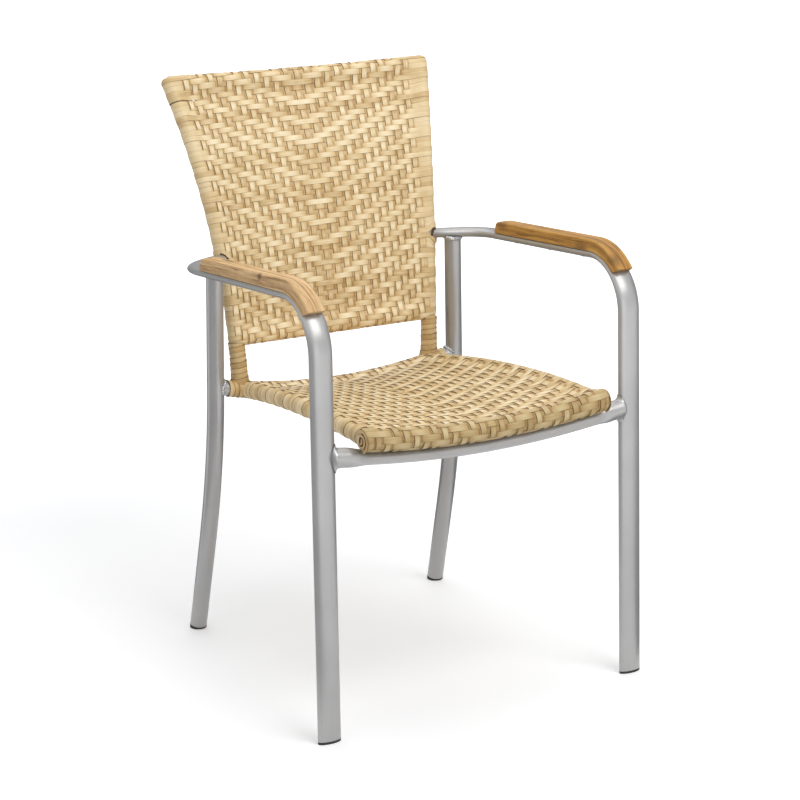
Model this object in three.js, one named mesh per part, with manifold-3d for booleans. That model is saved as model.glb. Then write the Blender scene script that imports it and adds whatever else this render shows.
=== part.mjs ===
// Rattan bistro chair: a stacking armchair of bent aluminium tube with a woven seat and a woven
// back, wooden arm caps and plastic glides. Lengths are millimetres, +Z is up, the chair faces -Y,
// and the floor is z = 0. Until the last lines, y = 0 is about midway between the front and rear
// feet. A side is 1 at +X, the right as seen from the front, and -1 at the left.

import * as THREE from 'three';
import { mergeVertices } from 'three/addons/utils/BufferGeometryUtils.js';
import Module from 'manifold-3d';

const wasm = await Module();
wasm.setup();

// Driving dimensions. A slope is a length per length along the piece, and a share is a part of a size.

const clearance = 0.3; // air left between pieces that touch on the real chair
const overrun = 15; // how far a cutting body passes beyond what it cuts
const evenness = 0.1; // the least step that a solid's surface keeps

const sideTube = { width: 36, thickness: 15, wall: 2 }; // oval tube of front leg and arm
const rearLegTube = { diameter: 26, wall: 2 };
const frontRailTube = { diameter: 28, wall: 2 };
const seatTube = { diameter: 22, wall: 1.8 }; // side rails and rear cross tube of the seat
const rollTube = { diameter: 25, wall: 1.8 }; // front cross tube of the seat
const backTube = { diameter: 20, wall: 1.8 }; // uprights and cross rails of the back
const wrapThickness = 2.7; // the strand wound round a tube
const wrapGap = 0.8; // between the ends of two wraps on one tube
const sheetThickness = 5; // the woven sheet between its rails

// The strands cross in a twill whose lines run out from the middle like a row of Vs, and a sheet's
// solid has the lines as low ridges. crossings counts the lengthwise strands from the middle to a
// side, and a line moves one row at each of them.
const twill = { relief: 2.3, rowsPerLine: 4, crossings: 12, backRow: 7.8, seatRow: 8.35 };

// The front tube of the seat sets the chair's width. What stands beside it is placed outward from
// its ends, or inward where the distance is less than zero.
const frontSeatTube = { halfLength: 197, aheadOfRail: 12.9, aboveRail: 6, rise: 14 };
const outward = {
    frontFoot: 60, rearFoot: 20.6, uprightFoot: -30, uprightBend: -23.2, uprightTop: 21.2,
    seatRailFront: -8, seatRailRear: -39, railFlat: -9,
};
const outFromSeat = (distance) => frontSeatTube.halfLength + distance;

const frontLeg = { footX: outFromSeat(outward.frontFoot), footY: -245, lean: 0.04, splay: 0.0056 };
const arm = {
    height: 611, slope: 0.0774, bendRadius: 75,
    rearBendRadius: 70, inwardSlope: 0.6, endAhead: 3,
};
const rearLeg = {
    footX: outFromSeat(outward.rearFoot), footY: 250.6, splay: 0.0163, slant: 0.2365,
    bendStartZ: 140, bendEndZ: 400, bendEndY: 184.6, lean: 0.006,
};
const rearTubeY = rearLeg.bendEndY; // the seat's rear tube joins the middles of the rear legs
const behindTube = { uprightFoot: 4.4, uprightBend: 15.2, uprightTop: 119.6 };
const upright = {
    footX: outFromSeat(outward.uprightFoot), footY: rearTubeY + behindTube.uprightFoot,
    bendX: outFromSeat(outward.uprightBend), bendY: rearTubeY + behindTube.uprightBend, bendZ: 643,
    topX: outFromSeat(outward.uprightTop), topY: rearTubeY + behindTube.uprightTop, topZ: 848,
};
const topRailBow = 9; // how far the middle of the top rail lies behind its ends
const bottomRailZ = 474;

const rearSeatTube = { middleZ: 380.5, rise: 24.5 };
const seatRail = { bulge: 6, crestBehind: 42, rise: 41 }; // the crest, from the front tube's middle
const frontRail = { middleBottomZ: 382.5, rise: 15, flatHeight: 13, flatWidth: 31, shoulder: 26 };
const seatSheetRise = 5; // the seat's sheet over the middle of its rails
const backSheetAhead = 3; // the back's sheet in front of the middle of its uprights

// Heights are from the middle of the arm's tube. frontTurnShare is how far round the bend it starts,
// and its front end is cut at a slant that reaches further down at the top.
const cap = {
    width: 33, topWidth: 27.5, height: 22.5, skirt: 5, corner: 4,
    frontTurnShare: 0.5, frontHeight: 18, frontReach: 2.5, frontSlant: 0.4,
    rearY: 110, rearHeight: 19, rounding: 8,
};
const screw = { shank: 4, head: 8, headHeight: 2.5, bite: 10, firstY: -110, spacing: 90, sides: 8 };
const glide = { foot: 3.5, rim: 1.2, stem: 18 }; // foot is its height at the thinnest side
const tab = { thickness: 5, depth: 16, behindRail: 3 };
const bead = { height: 3.5, length: 5 }; // height is how far a weld stands out from its tube

const sides = 12; // of a tube's section
const colours = {
    aluminium: { color: 0xb4b3b0, roughness: 0.36, metalness: 0.75 },
    weld: { color: 0xc6c7c9, roughness: 0.4, metalness: 0.8 },
    weave: { color: 0xdec896, roughness: 0.55, metalness: 0 },
    wood: { color: 0xb0854f, roughness: 0.6, metalness: 0 },
    plastic: { color: 0x1d1c1b, roughness: 0.55, metalness: 0 },
    steel: { color: 0x9a9a98, roughness: 0.35, metalness: 0.9 },
};

// Vectors and curves

const xAxis = new THREE.Vector3(1, 0, 0);
const yAxis = new THREE.Vector3(0, 1, 0);
const zAxis = new THREE.Vector3(0, 0, 1);
const at = (x, y, z) => new THREE.Vector3(x, y, z);
const mix = THREE.MathUtils.lerp;
const square = (value) => value * value;
const crossed = (a, b) => at(0, 0, 0).crossVectors(a, b);
const bothSides = [-1, 1];
const stepsFrom0To1 = (count) => Array.from({ length: count + 1 }, (_, i) => i / count);

// A route is a list of points with the direction that a section's width takes at each of them.
// Its directions may carry a scale, so that a section can widen and flatten along the route.
class Route extends THREE.Curve {
    constructor(points, sideOf, scaleOf = () => [1, 1]) {
        super();
        this.points = points;
        this.tangents = points.map((p, i) => at(0, 0, 0)
            .subVectors(points[Math.min(i + 1, points.length - 1)], points[Math.max(i - 1, 0)])
            .normalize());
        this.normals = [];
        this.binormals = [];
        points.forEach((p, i) => {
            const tangent = this.tangents[i];
            const side = sideOf(tangent, i).clone();
            side.addScaledVector(tangent, -side.dot(tangent)).normalize();
            const up = at(0, 0, 0).crossVectors(tangent, side);
            const [wide, high] = scaleOf(p);
            this.normals.push(side.multiplyScalar(wide));
            this.binormals.push(up.multiplyScalar(high));
        });
    }

    getPoint(t) {
        const place = t * (this.points.length - 1);
        const i = Math.min(Math.floor(place), this.points.length - 2);
        return at(0, 0, 0).lerpVectors(this.points[i], this.points[i + 1], place - i);
    }

    getSpacedPoints() {
        return this.points;
    }

    computeFrenetFrames() {
        return { tangents: this.tangents, normals: this.normals, binormals: this.binormals };
    }
}

const along = (direction) => () => direction;

// The points of a bend that rounds a corner between two directions.
function bend(corner, before, after, radius, steps) {
    const turn = before.angleTo(after);
    const axis = at(0, 0, 0).crossVectors(before, after).normalize();
    const inward = at(0, 0, 0).crossVectors(axis, before);
    const start = corner.clone().addScaledVector(before, -radius * Math.tan(turn / 2));
    const centre = start.clone().addScaledVector(inward, radius);
    return stepsFrom0To1(steps).map((t) => inward.clone().multiplyScalar(-radius)
        .applyAxisAngle(axis, turn * t).add(centre));
}

// The same points with both ends carried on in a straight line.
function lengthen(points, extra) {
    const first = at(0, 0, 0).subVectors(points[0], points[1]).setLength(extra).add(points[0]);
    const [a, b] = points.slice(-2);
    const last = at(0, 0, 0).subVectors(b, a).setLength(extra).add(b);
    return [first, ...points, last];
}

// Solids

function ovalPoints(width, thickness) {
    return Array.from({ length: sides }, (_, i) => {
        const angle = i / sides * 2 * Math.PI;
        return new THREE.Vector2(Math.cos(angle) * width / 2, Math.sin(angle) * thickness / 2);
    });
}

function toSolid(geometry) {
    const bare = geometry.clone();
    bare.deleteAttribute('normal');
    bare.deleteAttribute('uv');
    const merged = mergeVertices(bare);
    const faces = [];
    for (let i = 0; i < merged.index.count; i += 3) {
        const face = Array.from(merged.index.array.slice(i, i + 3));
        if (new Set(face).size === face.length) faces.push(...face);
    }
    return new wasm.Manifold(new wasm.Mesh({
        numProp: 3,
        vertProperties: new Float32Array(merged.attributes.position.array),
        triVerts: new Uint32Array(faces),
    }));
}

function toGeometry(solid) {
    const mesh = solid.simplify(evenness).getMesh();
    const geometry = new THREE.BufferGeometry();
    geometry.setAttribute('position', new THREE.BufferAttribute(new Float32Array(mesh.vertProperties), 3));
    geometry.setIndex(new THREE.BufferAttribute(new Uint32Array(mesh.triVerts), 1));
    return geometry;
}

// A bar or, with a wall, a tube of oval section along a route.
function swept(route, width, thickness = width, wall = 0) {
    const shape = new THREE.Shape(ovalPoints(width, thickness));
    if (wall > 0) shape.holes.push(new THREE.Path(ovalPoints(width - 2 * wall, thickness - 2 * wall)));
    const steps = route.points.length - 1;
    return toSolid(new THREE.ExtrudeGeometry(shape, { steps, extrudePath: route, bevelEnabled: false }));
}

const tubing = (route, { diameter, wall }) => swept(route, diameter, diameter, wall);
const bored = (diameter) => diameter + 2 * clearance;
const wound = (diameter) => diameter + 2 * (wrapThickness + clearance);

// A solid skinned over rings of points that all match one flat outline. Each ring runs
// anticlockwise as seen from the end that the rings lead to.
function lofted(rings, outline) {
    const count = outline.length;
    const positions = rings.flat().flatMap((p) => [p.x, p.y, p.z]);
    const faces = [];
    for (let k = 0; k < rings.length - 1; k++) {
        for (let i = 0; i < count; i++) {
            const [a, b] = [k * count + i, k * count + (i + 1) % count];
            faces.push(a, b, b + count, a, b + count, a + count);
        }
    }
    const last = (rings.length - 1) * count;
    for (const [a, b, c] of THREE.ShapeUtils.triangulateShape(outline, [])) {
        faces.push(c, b, a, last + a, last + b, last + c);
    }
    const geometry = new THREE.BufferGeometry();
    geometry.setAttribute('position', new THREE.Float32BufferAttribute(positions, 3));
    geometry.setIndex(faces);
    return toSolid(geometry);
}

// A slab over a sheet: pointAt(u, v, k) is its middle, with u from -1 to 1, v from 0 to 1 and k the
// number of the row, and facing is the direction of its thickness.
function slab(pointAt, facing, thickness, columns, rows) {
    const outline = [];
    for (const u of stepsFrom0To1(columns)) outline.push(new THREE.Vector2(u, -1));
    for (const u of stepsFrom0To1(columns).reverse()) outline.push(new THREE.Vector2(u, 1));
    const rings = stepsFrom0To1(rows).map((v, k) => outline.map((p) => pointAt(mix(-1, 1, p.x), v, k)
        .addScaledVector(facing, p.y * thickness / 2)));
    return lofted(rings, outline);
}

// How many lines of the twill a length holds, and how much of that length a line moves on its way
// from the middle to a side.
const linesIn = (length, row) => Math.round(length / (twill.rowsPerLine * row));
const driftIn = (length, row) => twill.crossings * row / length;

// A woven sheet: a slab folded in ridges along the twill's lines, cut to the sheet's outline. The
// lines move on by drift from the middle to the sides, or back where it is less than zero.
function twillSheet(pointAt, facing, lines, drift) {
    const [first, last] = [Math.min(0, -drift), Math.max(1, 1 - drift)];
    const rows = 2 * Math.ceil(lines * (last - first));
    const folded = (u, v, k) => pointAt(u, mix(first, last, v) + drift * Math.abs(u))
        .addScaledVector(facing, twill.relief / 2 * (k % 2 ? 1 : -1));
    const outline = slab(pointAt, facing, sheetThickness + 2 * twill.relief, 8, 8);
    return slab(folded, facing, sheetThickness, 8, rows).intersect(outline);
}

function boxSolid(width, depth, height, centre) {
    return toSolid(new THREE.BoxGeometry(width, depth, height).translate(centre.x, centre.y, centre.z));
}

const minus = (solid, ...cutters) => cutters.reduce((rest, cutter) => rest.subtract(cutter), solid);
const plus = (...solids) => solids.reduce((sum, solid) => sum.add(solid));

// Side tube: front leg, bend, arm and the inward bend to the back

const legDirection = (side) => at(-frontLeg.splay * side, frontLeg.lean, 1).normalize();
const armDirection = at(0, 1, -arm.slope).normalize();
const armNormal = at(0, 0, 0).crossVectors(xAxis, armDirection);
const armZ = (y) => arm.height - arm.slope * y;

// The middle of the leg's line and the arm's line meet here, before the corner is rounded.
function armCorner(side) {
    const z = (arm.height - arm.slope * frontLeg.footY) / (1 + arm.slope * frontLeg.lean);
    return at(side * (frontLeg.footX - frontLeg.splay * z), frontLeg.footY + frontLeg.lean * z, z);
}

const armX = armCorner(1).x;

// The arm ends at the upright, a little in front of its middle.
function armJoint(side) {
    const middle = uprightAt(uprightShareAt(armZ(upright.bendY)), side);
    const y = middle.y - arm.endAhead;
    return at(middle.x, y, armZ(y));
}

function armBends(side) {
    const corner = armCorner(side);
    const joint = armJoint(side);
    const inward = at(-side, 0, 0).addScaledVector(armDirection, arm.inwardSlope).normalize();
    const rearY = joint.y - (armX - Math.abs(joint.x)) * arm.inwardSlope;
    const rearCorner = at(corner.x, rearY, armZ(rearY));
    return {
        front: bend(corner, legDirection(side), armDirection, arm.bendRadius, 8),
        rear: bend(rearCorner, armDirection, inward, arm.rearBendRadius, 6),
    };
}

// The width of the oval lies across the chair on the leg and in the arm's plane beyond it.
function sideRoute(side, footLength, extra = 0) {
    const { front, rear } = armBends(side);
    const foot = at(side * frontLeg.footX, frontLeg.footY, 0);
    const start = foot.addScaledVector(legDirection(side), footLength);
    const points = [start, ...front, ...rear, armJoint(side)];
    const sideOf = (tangent, i) => (i <= front.length ? xAxis : crossed(tangent, armNormal));
    return new Route(extra ? lengthen(points, extra) : points, sideOf);
}

function sideBar(side, gap) {
    return swept(sideRoute(side, 0, overrun), sideTube.width + 2 * gap, sideTube.thickness + 2 * gap);
}

function buildSideTube(side) {
    const footLength = footLengthOf(legDirection(side), sideTube.thickness);
    const route = sideRoute(side, footLength);
    const tube = swept(route, sideTube.width, sideTube.thickness, sideTube.wall);
    return minus(tube, uprightBar(side), ...screwYs.map((y) => screwBar(side, y, clearance)));
}

// Rear leg: slanted foot, long bend, upright top under the arm

const rearLegDirection = (side) => at(-rearLeg.splay * side, -rearLeg.slant, 1).normalize();

function rearLegRoute(side, footLength) {
    const { footX, footY, splay, slant, bendStartZ, bendEndZ, bendEndY, lean } = rearLeg;
    const onLeg = (y, z) => at(side * (footX - splay * z), y, z);
    const slanted = (z) => onLeg(footY - slant * z, z);
    const standing = (z) => onLeg(bendEndY + lean * (z - bendEndZ), z);
    const cornerZ = (footY - bendEndY + lean * bendEndZ) / (slant + lean);
    const curve = new THREE.QuadraticBezierCurve3(slanted(bendStartZ), slanted(cornerZ), standing(bendEndZ));
    const start = slanted(0).addScaledVector(rearLegDirection(side), footLength);
    const top = armZ(bendEndY) - sideTube.thickness / 2 + bead.height;
    return new Route([start, ...curve.getPoints(6), standing(top)], along(xAxis));
}

const rearLegBar = (side) => swept(rearLegRoute(side, 0), bored(rearLegTube.diameter));

function buildRearLeg(side) {
    const footLength = footLengthOf(rearLegDirection(side), rearLegTube.diameter);
    return minus(tubing(rearLegRoute(side, footLength), rearLegTube), sideBar(side, clearance));
}

// Front rail: a round tube that is pressed flat between its shoulders, to make room for the seat's roll

const railHalf = frontLeg.footX - frontLeg.splay * frontRail.middleBottomZ;
const railY = frontLeg.footY + frontLeg.lean * (frontRail.middleBottomZ + frontRail.rise);
const flatHalf = outFromSeat(outward.railFlat);
const shoulderEnd = flatHalf + frontRail.shoulder;

// How round the rail is at x: 0 on the flat, 1 at the legs.
const roundShare = (x) => THREE.MathUtils.smoothstep(Math.abs(x), flatHalf, shoulderEnd);
const railHeight = (x) => mix(frontRail.flatHeight, frontRailTube.diameter, roundShare(x));
const railWidth = (x) => mix(frontRail.flatWidth, frontRailTube.diameter, roundShare(x));
const railBottomZ = (x) => frontRail.middleBottomZ + frontRail.rise * square(x / railHalf);
const railMiddleZ = (x) => railBottomZ(x) + railHeight(x) / 2;

function frontRailRoute(gap) {
    const flat = stepsFrom0To1(6).map((t) => mix(-flatHalf, flatHalf, t));
    const shoulder = stepsFrom0To1(3).slice(1).map((t) => mix(flatHalf, shoulderEnd, t));
    const xs = [-railHalf, ...shoulder.map((x) => -x).reverse(), ...flat, ...shoulder, railHalf];
    const full = frontRailTube.diameter + 2 * gap;
    const scaleOf = (p) => [railWidth(p.x), railHeight(p.x)].map((size) => (size + 2 * gap) / full);
    return new Route(xs.map((x) => at(x, railY, railMiddleZ(x))), along(yAxis), scaleOf);
}

const frontRailBar = () => swept(frontRailRoute(clearance), bored(frontRailTube.diameter));

function buildFrontRail() {
    const legs = bothSides.map((side) => sideBar(side, clearance));
    return minus(tubing(frontRailRoute(0), frontRailTube), ...legs);
}

// Cross tubes of the seat: each dips in the middle along an arc, taken here as a parabola

function dippedRoute(halfLength, y, zAt) {
    const points = stepsFrom0To1(8).map((t) => mix(-halfLength, halfLength, t)).map((x) => at(x, y, zAt(x)));
    return new Route(points, along(yAxis));
}

const rearTubeHalf = rearLeg.footX - rearLeg.splay * rearLeg.bendEndZ;
const rearTubeZ = (x) => rearSeatTube.middleZ + rearSeatTube.rise * square(x / rearTubeHalf);
const rearTubeRoute = (halfLength = rearTubeHalf) => dippedRoute(halfLength, rearTubeY, rearTubeZ);
const rearTubeBar = () => swept(rearTubeRoute(), bored(seatTube.diameter));

// The front tube's roll of strand clears the flat of the front rail.
const frontTubeY = railY - frontSeatTube.aheadOfRail;
const flatTopZ = frontRail.middleBottomZ + frontRail.flatHeight;
const frontTubeMiddleZ = flatTopZ + frontSeatTube.aboveRail + wound(rollTube.diameter) / 2;
const frontTubeZ = (x) => frontTubeMiddleZ + frontSeatTube.rise * square(x / frontSeatTube.halfLength);

function frontTubeRoute(extra = 0) {
    return dippedRoute(frontSeatTube.halfLength + extra, frontTubeY, frontTubeZ);
}

const frontTubeBar = () => swept(frontTubeRoute(clearance), bored(rollTube.diameter));

function buildRearSeatTube() {
    return minus(tubing(rearTubeRoute(), seatTube), ...bothSides.map(rearLegBar));
}

// Seat rails: from the rear seat tube over a crest to the front seat tube

const seatDepth = rearTubeY - frontTubeY;

function seatRailPoint(t, side) {
    const [rearX, frontX] = [outward.seatRailRear, outward.seatRailFront].map(outFromSeat);
    const x = mix(rearX, frontX, t) + seatRail.bulge * (1 - square(2 * t - 1));
    const [rearZ, frontZ] = [rearTubeZ(rearX), frontTubeZ(frontX)];
    const crestShare = (seatDepth - seatRail.crestBehind) / seatDepth;
    const hump = (share) => seatRail.rise * (1 - square(1 - share / crestShare));
    const y = rearTubeY - seatDepth * t;
    return at(side * x, y, rearZ + hump(t) + (frontZ - rearZ - hump(1)) * t);
}

function seatRailRoute(side) {
    return new Route(stepsFrom0To1(8).map((t) => seatRailPoint(t, side)), along(xAxis));
}

const seatRailBar = (side) => swept(seatRailRoute(side), bored(seatTube.diameter));

function buildSeatRail(side) {
    return minus(tubing(seatRailRoute(side), seatTube), rearTubeBar(), frontTubeBar(), uprightBar(side));
}

// Tabs that carry the seat rails' front ends on the front rail

function tabBlock(side, gap) {
    const y = railY + tab.behindRail;
    const top = seatRailPoint((rearTubeY - y) / seatDepth, side);
    const lowZ = railMiddleZ(top.x);
    const centre = at(top.x, y, (top.z + lowZ) / 2);
    return boxSolid(tab.thickness + 2 * gap, tab.depth + 2 * gap, top.z - lowZ, centre);
}

function buildTab(side) {
    return minus(tabBlock(side, 0), frontRailBar(), frontTubeBar(), seatRailBar(side));
}

// Back: two uprights, a bowed top rail and a straight bottom rail

function uprightAt(t, side) {
    const foot = at(side * upright.footX, upright.footY, rearTubeZ(upright.footX));
    const middle = at(side * upright.bendX, upright.bendY, upright.bendZ);
    const top = at(side * upright.topX, upright.topY, upright.topZ);
    return new THREE.QuadraticBezierCurve3(foot, middle, top).getPoint(t);
}

// How far up an upright's curve it reaches a height, by halving.
function uprightShareAt(z) {
    let [low, high] = [0, 1];
    for (let i = 0; i < sides; i++) {
        const middle = (low + high) / 2;
        if (uprightAt(middle, 1).z < z) low = middle;
        else high = middle;
    }
    return (low + high) / 2;
}

function uprightRoute(side, from = 0, to = 1) {
    return new Route(stepsFrom0To1(8).map((t) => uprightAt(mix(from, to, t), side)), along(xAxis));
}

const uprightBar = (side) => swept(uprightRoute(side), bored(backTube.diameter));

// Out of the back's front face, at its top.
const backUp = at(0, 0, 0).subVectors(uprightAt(1, 1), uprightAt(1 - 1 / sides, 1)).setX(0).normalize();
const backFacing = crossed(backUp, xAxis).negate();

const topRailRoute = new Route(stepsFrom0To1(8).map((t) => {
    const u = mix(-1, 1, t);
    const bow = topRailBow * (1 - u * u);
    return at(u * upright.topX, upright.topY, upright.topZ).addScaledVector(backFacing, -bow);
}), along(backFacing));

const bottomShare = uprightShareAt(bottomRailZ);
const bottomRailRoute = new Route(bothSides.map((side) => uprightAt(bottomShare, side)), along(yAxis));

function buildUpright(side) {
    return minus(tubing(uprightRoute(side), backTube), rearTubeBar());
}

function buildBackRail(route) {
    return minus(tubing(route, backTube), ...bothSides.map(uprightBar));
}

// Back weave: the sheet and the strands wound round the back's tubes, less the tubes themselves

const skinLowZ = bottomRailZ - wound(backTube.diameter) / 2;
const backSkin = (route) => swept(route, wound(backTube.diameter));

function backSheetPoint(u, v) {
    const edge = uprightAt(mix(bottomShare, 1, v), 1);
    const bow = topRailBow * v * (1 - u * u);
    return at(edge.x * u, edge.y, edge.z).addScaledVector(backFacing, backSheetAhead - bow);
}

function cornerBall(side) {
    const corner = uprightAt(1, side);
    const sphere = new THREE.SphereGeometry(wound(backTube.diameter) / 2, sides, sides / 2);
    return toSolid(sphere.translate(corner.x, corner.y, corner.z));
}

const backDepth = uprightAt(bottomShare, 1).distanceTo(uprightAt(1, 1));

function buildBackWeave() {
    const lines = linesIn(backDepth, twill.backRow);
    const drift = driftIn(backDepth, twill.backRow);
    const sheet = twillSheet(backSheetPoint, backFacing.clone().negate(), lines, drift);
    const skins = bothSides.map((side) => backSkin(uprightRoute(side, uprightShareAt(skinLowZ))));
    const rails = [topRailRoute, bottomRailRoute];
    const bores = rails.map((route) => swept(route, bored(backTube.diameter)));
    const arms = bothSides.map((side) => sideBar(side, bead.height + clearance));
    const filled = plus(sheet, ...skins, ...bothSides.map(cornerBall), ...rails.map(backSkin));
    return minus(filled, ...bores, ...bothSides.map(uprightBar), ...arms);
}

// Seat weave: the same over the seat's four tubes, with a wide roll at the front

const rearSkinHalf = upright.footX + wound(backTube.diameter) / 2;

function seatSheetPoint(u, v) {
    const edge = seatRailPoint(v, 1);
    const dip = mix(rearTubeZ(edge.x) - rearTubeZ(0), frontTubeZ(edge.x) - frontTubeZ(0), v);
    return at(edge.x * u, edge.y, edge.z + seatSheetRise - dip * (1 - u * u));
}

function buildSeatWeave() {
    const lines = linesIn(seatDepth, twill.seatRow);
    const sheet = twillSheet(seatSheetPoint, zAxis, lines, -driftIn(seatDepth, twill.seatRow));
    const rails = bothSides.map((side) => swept(seatRailRoute(side), wound(seatTube.diameter)));
    const roll = swept(frontTubeRoute(clearance + wrapThickness), wound(rollTube.diameter));
    const rear = swept(rearTubeRoute(rearSkinHalf), wound(seatTube.diameter));
    const bars = [rearTubeBar(), frontTubeBar(), frontRailBar()];
    const cutters = [seatRailBar, uprightBar, (side) => tabBlock(side, clearance)];
    const sideBars = cutters.flatMap((cutter) => bothSides.map(cutter));
    return minus(plus(sheet, ...rails, roll, rear), ...bars, ...sideBars);
}

// Wraps on the uprights' feet and on the ends of the rear seat tube

function seatSkins(side) {
    const diameter = wound(seatTube.diameter) + 2 * clearance;
    return [rearTubeRoute(), seatRailRoute(side)].map((route) => swept(route, diameter));
}

function buildUprightWrap(side) {
    const top = uprightShareAt(skinLowZ - wrapGap);
    return minus(backSkin(uprightRoute(side, 0, top)), uprightBar(side), ...seatSkins(side));
}

function buildStubWrap(side) {
    const inner = rearSkinHalf + wrapGap;
    const outer = rearTubeHalf - rearLegTube.diameter / 2 - bead.length - clearance;
    const ends = [inner, outer].map((x) => at(side * x, rearTubeY, rearTubeZ(x)));
    const skin = swept(new Route(ends, along(yAxis)), wound(seatTube.diameter));
    return minus(skin, rearTubeBar(), seatSkins(side)[1]);
}

// Arm caps: a rounded section over the oval, from inside the bend to the rear end of the straight arm

function capOutline(height) {
    const { skirt, corner } = cap;
    const half = cap.width / 2;
    const topHalf = cap.topWidth / 2;
    const seat = (x) => Math.sqrt(Math.max(0, 1 - square(x / (sideTube.width / 2 + clearance))));
    const floor = (x) => Math.max((sideTube.thickness / 2 + clearance) * seat(x), skirt * Math.abs(x) / half);
    const xs = stepsFrom0To1(8).map((t) => mix(-half, half, t));
    const under = xs.map((x) => new THREE.Vector2(x, floor(x)));
    const right = stepsFrom0To1(4).map((t) => new THREE.Vector2(corner, 0)
        .rotateAround(new THREE.Vector2(), t * Math.PI / 2)
        .add(new THREE.Vector2(topHalf - corner, height - corner)));
    const left = right.map((p) => new THREE.Vector2(-p.x, p.y)).reverse();
    return [...under, ...right, ...left];
}

// Pairs of a point on the arm's middle line and the cap's height over it.
function capSections(side) {
    const bendPoints = armBends(side).front;
    const turned = bendPoints.slice(Math.round((bendPoints.length - 1) * cap.frontTurnShare));
    const sections = turned.map((p, i) => [p, mix(cap.frontHeight, cap.height, i / (turned.length - 1))]);
    const end = at(side * armX, cap.rearY, armZ(cap.rearY));
    for (const t of stepsFrom0To1(4)) {
        const drop = (cap.height - cap.rearHeight) * (1 - Math.sqrt(1 - square(t)));
        sections.push([end.clone().addScaledVector(armDirection, cap.rounding * (t - 1)), cap.height - drop]);
    }
    return sections;
}

function buildArmCap(side) {
    const sections = capSections(side);
    const route = new Route(sections.map(([point]) => point), along(at(-1, 0, 0)));
    const reach = (p) => cap.frontReach + cap.frontSlant * (p.y - sideTube.thickness / 2);
    const rings = sections.map(([point, height], k) => capOutline(height).map((p) => point.clone()
        .addScaledVector(route.normals[k], p.x)
        .addScaledVector(route.binormals[k], p.y)
        .addScaledVector(route.tangents[k], k ? 0 : -reach(p))));
    const solid = lofted(rings, capOutline(cap.height));
    return minus(solid, ...screwYs.map((y) => screwBar(side, y, clearance)));
}

// Screws: from under the arm through both walls of the tube into the cap

const screwNames = ['front', 'middle', 'rear'];
const screwYs = screwNames.map((_, i) => screw.firstY + i * screw.spacing);
const screwTop = sideTube.thickness / 2 + screw.bite;
const screwSeat = sideTube.thickness / 2 + clearance;

function placeOnArm(geometry, side, y) {
    const lean = new THREE.Quaternion().setFromUnitVectors(yAxis, armNormal);
    return toSolid(geometry.applyQuaternion(lean).translate(side * armX, y, armZ(y)));
}

function screwBar(side, y, gap) {
    const radius = screw.shank / 2 + gap;
    const bar = new THREE.CylinderGeometry(radius, radius, screwTop + screwSeat + 2 * gap, screw.sides);
    return placeOnArm(bar.translate(0, (screwTop - screwSeat) / 2, 0), side, y);
}

function buildScrew(side, y) {
    const edge = screw.headHeight / 2;
    const low = -screwSeat - screw.headHeight;
    const profile = [
        [0, low], [screw.head / 2 - edge, low], [screw.head / 2, low + edge], [screw.head / 2, -screwSeat],
        [screw.shank / 2, -screwSeat], [screw.shank / 2, screwTop - screw.shank / 2], [0, screwTop],
    ];
    const outline = profile.map(([r, z]) => new THREE.Vector2(r, z));
    return placeOnArm(new THREE.LatheGeometry(outline, screw.sides), side, y);
}

// Glides: a stem in the tube's end and a foot that is flat on the floor

// The distance from the floor to the tube's square end, along a leg that leans.
function footLengthOf(direction, thickness) {
    return glide.foot + thickness / 2 * Math.hypot(direction.x, direction.y);
}

function buildGlide(foot, direction, width, thickness, wall) {
    const across = xAxis.clone().addScaledVector(direction, -direction.x).normalize();
    const up = crossed(direction, across);
    const outline = ovalPoints(1, 1);
    const ring = (inset, distance) => outline.map((p) => foot.clone()
        .addScaledVector(direction, distance)
        .addScaledVector(across, p.x * (width - 2 * inset))
        .addScaledVector(up, p.y * (thickness - 2 * inset)));
    const level = (points, z) => points.map((p) => p.addScaledVector(direction, (z - p.z) / direction.z));
    const tubeEnd = footLengthOf(direction, thickness);
    const seat = tubeEnd - clearance;
    const plug = wall + clearance;
    const base = [level(ring(glide.rim, 0), 0), level(ring(0, 0), glide.rim), ring(0, seat)];
    return lofted([...base, ring(plug, seat), ring(plug, tubeEnd + glide.stem)], outline);
}

function buildFrontGlide(side) {
    const foot = at(side * frontLeg.footX, frontLeg.footY, 0);
    return buildGlide(foot, legDirection(side), sideTube.width, sideTube.thickness, sideTube.wall);
}

function buildRearGlide(side) {
    const { diameter, wall } = rearLegTube;
    const foot = at(side * rearLeg.footX, rearLeg.footY, 0);
    return buildGlide(foot, rearLegDirection(side), diameter, diameter, wall);
}

// Weld beads: a ring round the end of one tube, cut to the surfaces of both tubes that it joins

// The ring starts inside the surface that lies at a distance from a point, and ends beyond it.
function beadRing(from, direction, surface, width, thickness, sideOf) {
    const distances = [surface - bead.height, surface + bead.length];
    const points = distances.map((d) => from.clone().addScaledVector(direction, d));
    return swept(new Route(points, sideOf), width + 2 * bead.height, thickness + 2 * bead.height);
}

function buildFrontRailWeld(side) {
    const { diameter } = frontRailTube;
    const leg = at(side * railHalf, railY, railMiddleZ(railHalf));
    const ring = beadRing(leg, at(-side, 0, 0), sideTube.width / 2, diameter, diameter, along(yAxis));
    return minus(ring, sideBar(side, clearance), frontRailBar());
}

function buildRearTubeWeld(side) {
    const leg = at(side * rearTubeHalf, rearTubeY, rearTubeZ(rearTubeHalf));
    const slope = at(-side, 0, -2 * rearSeatTube.rise / rearTubeHalf).normalize();
    const { diameter } = seatTube;
    const ring = beadRing(leg, slope, rearLegTube.diameter / 2, diameter, diameter, along(yAxis));
    return minus(ring, rearLegBar(side), rearTubeBar());
}

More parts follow.
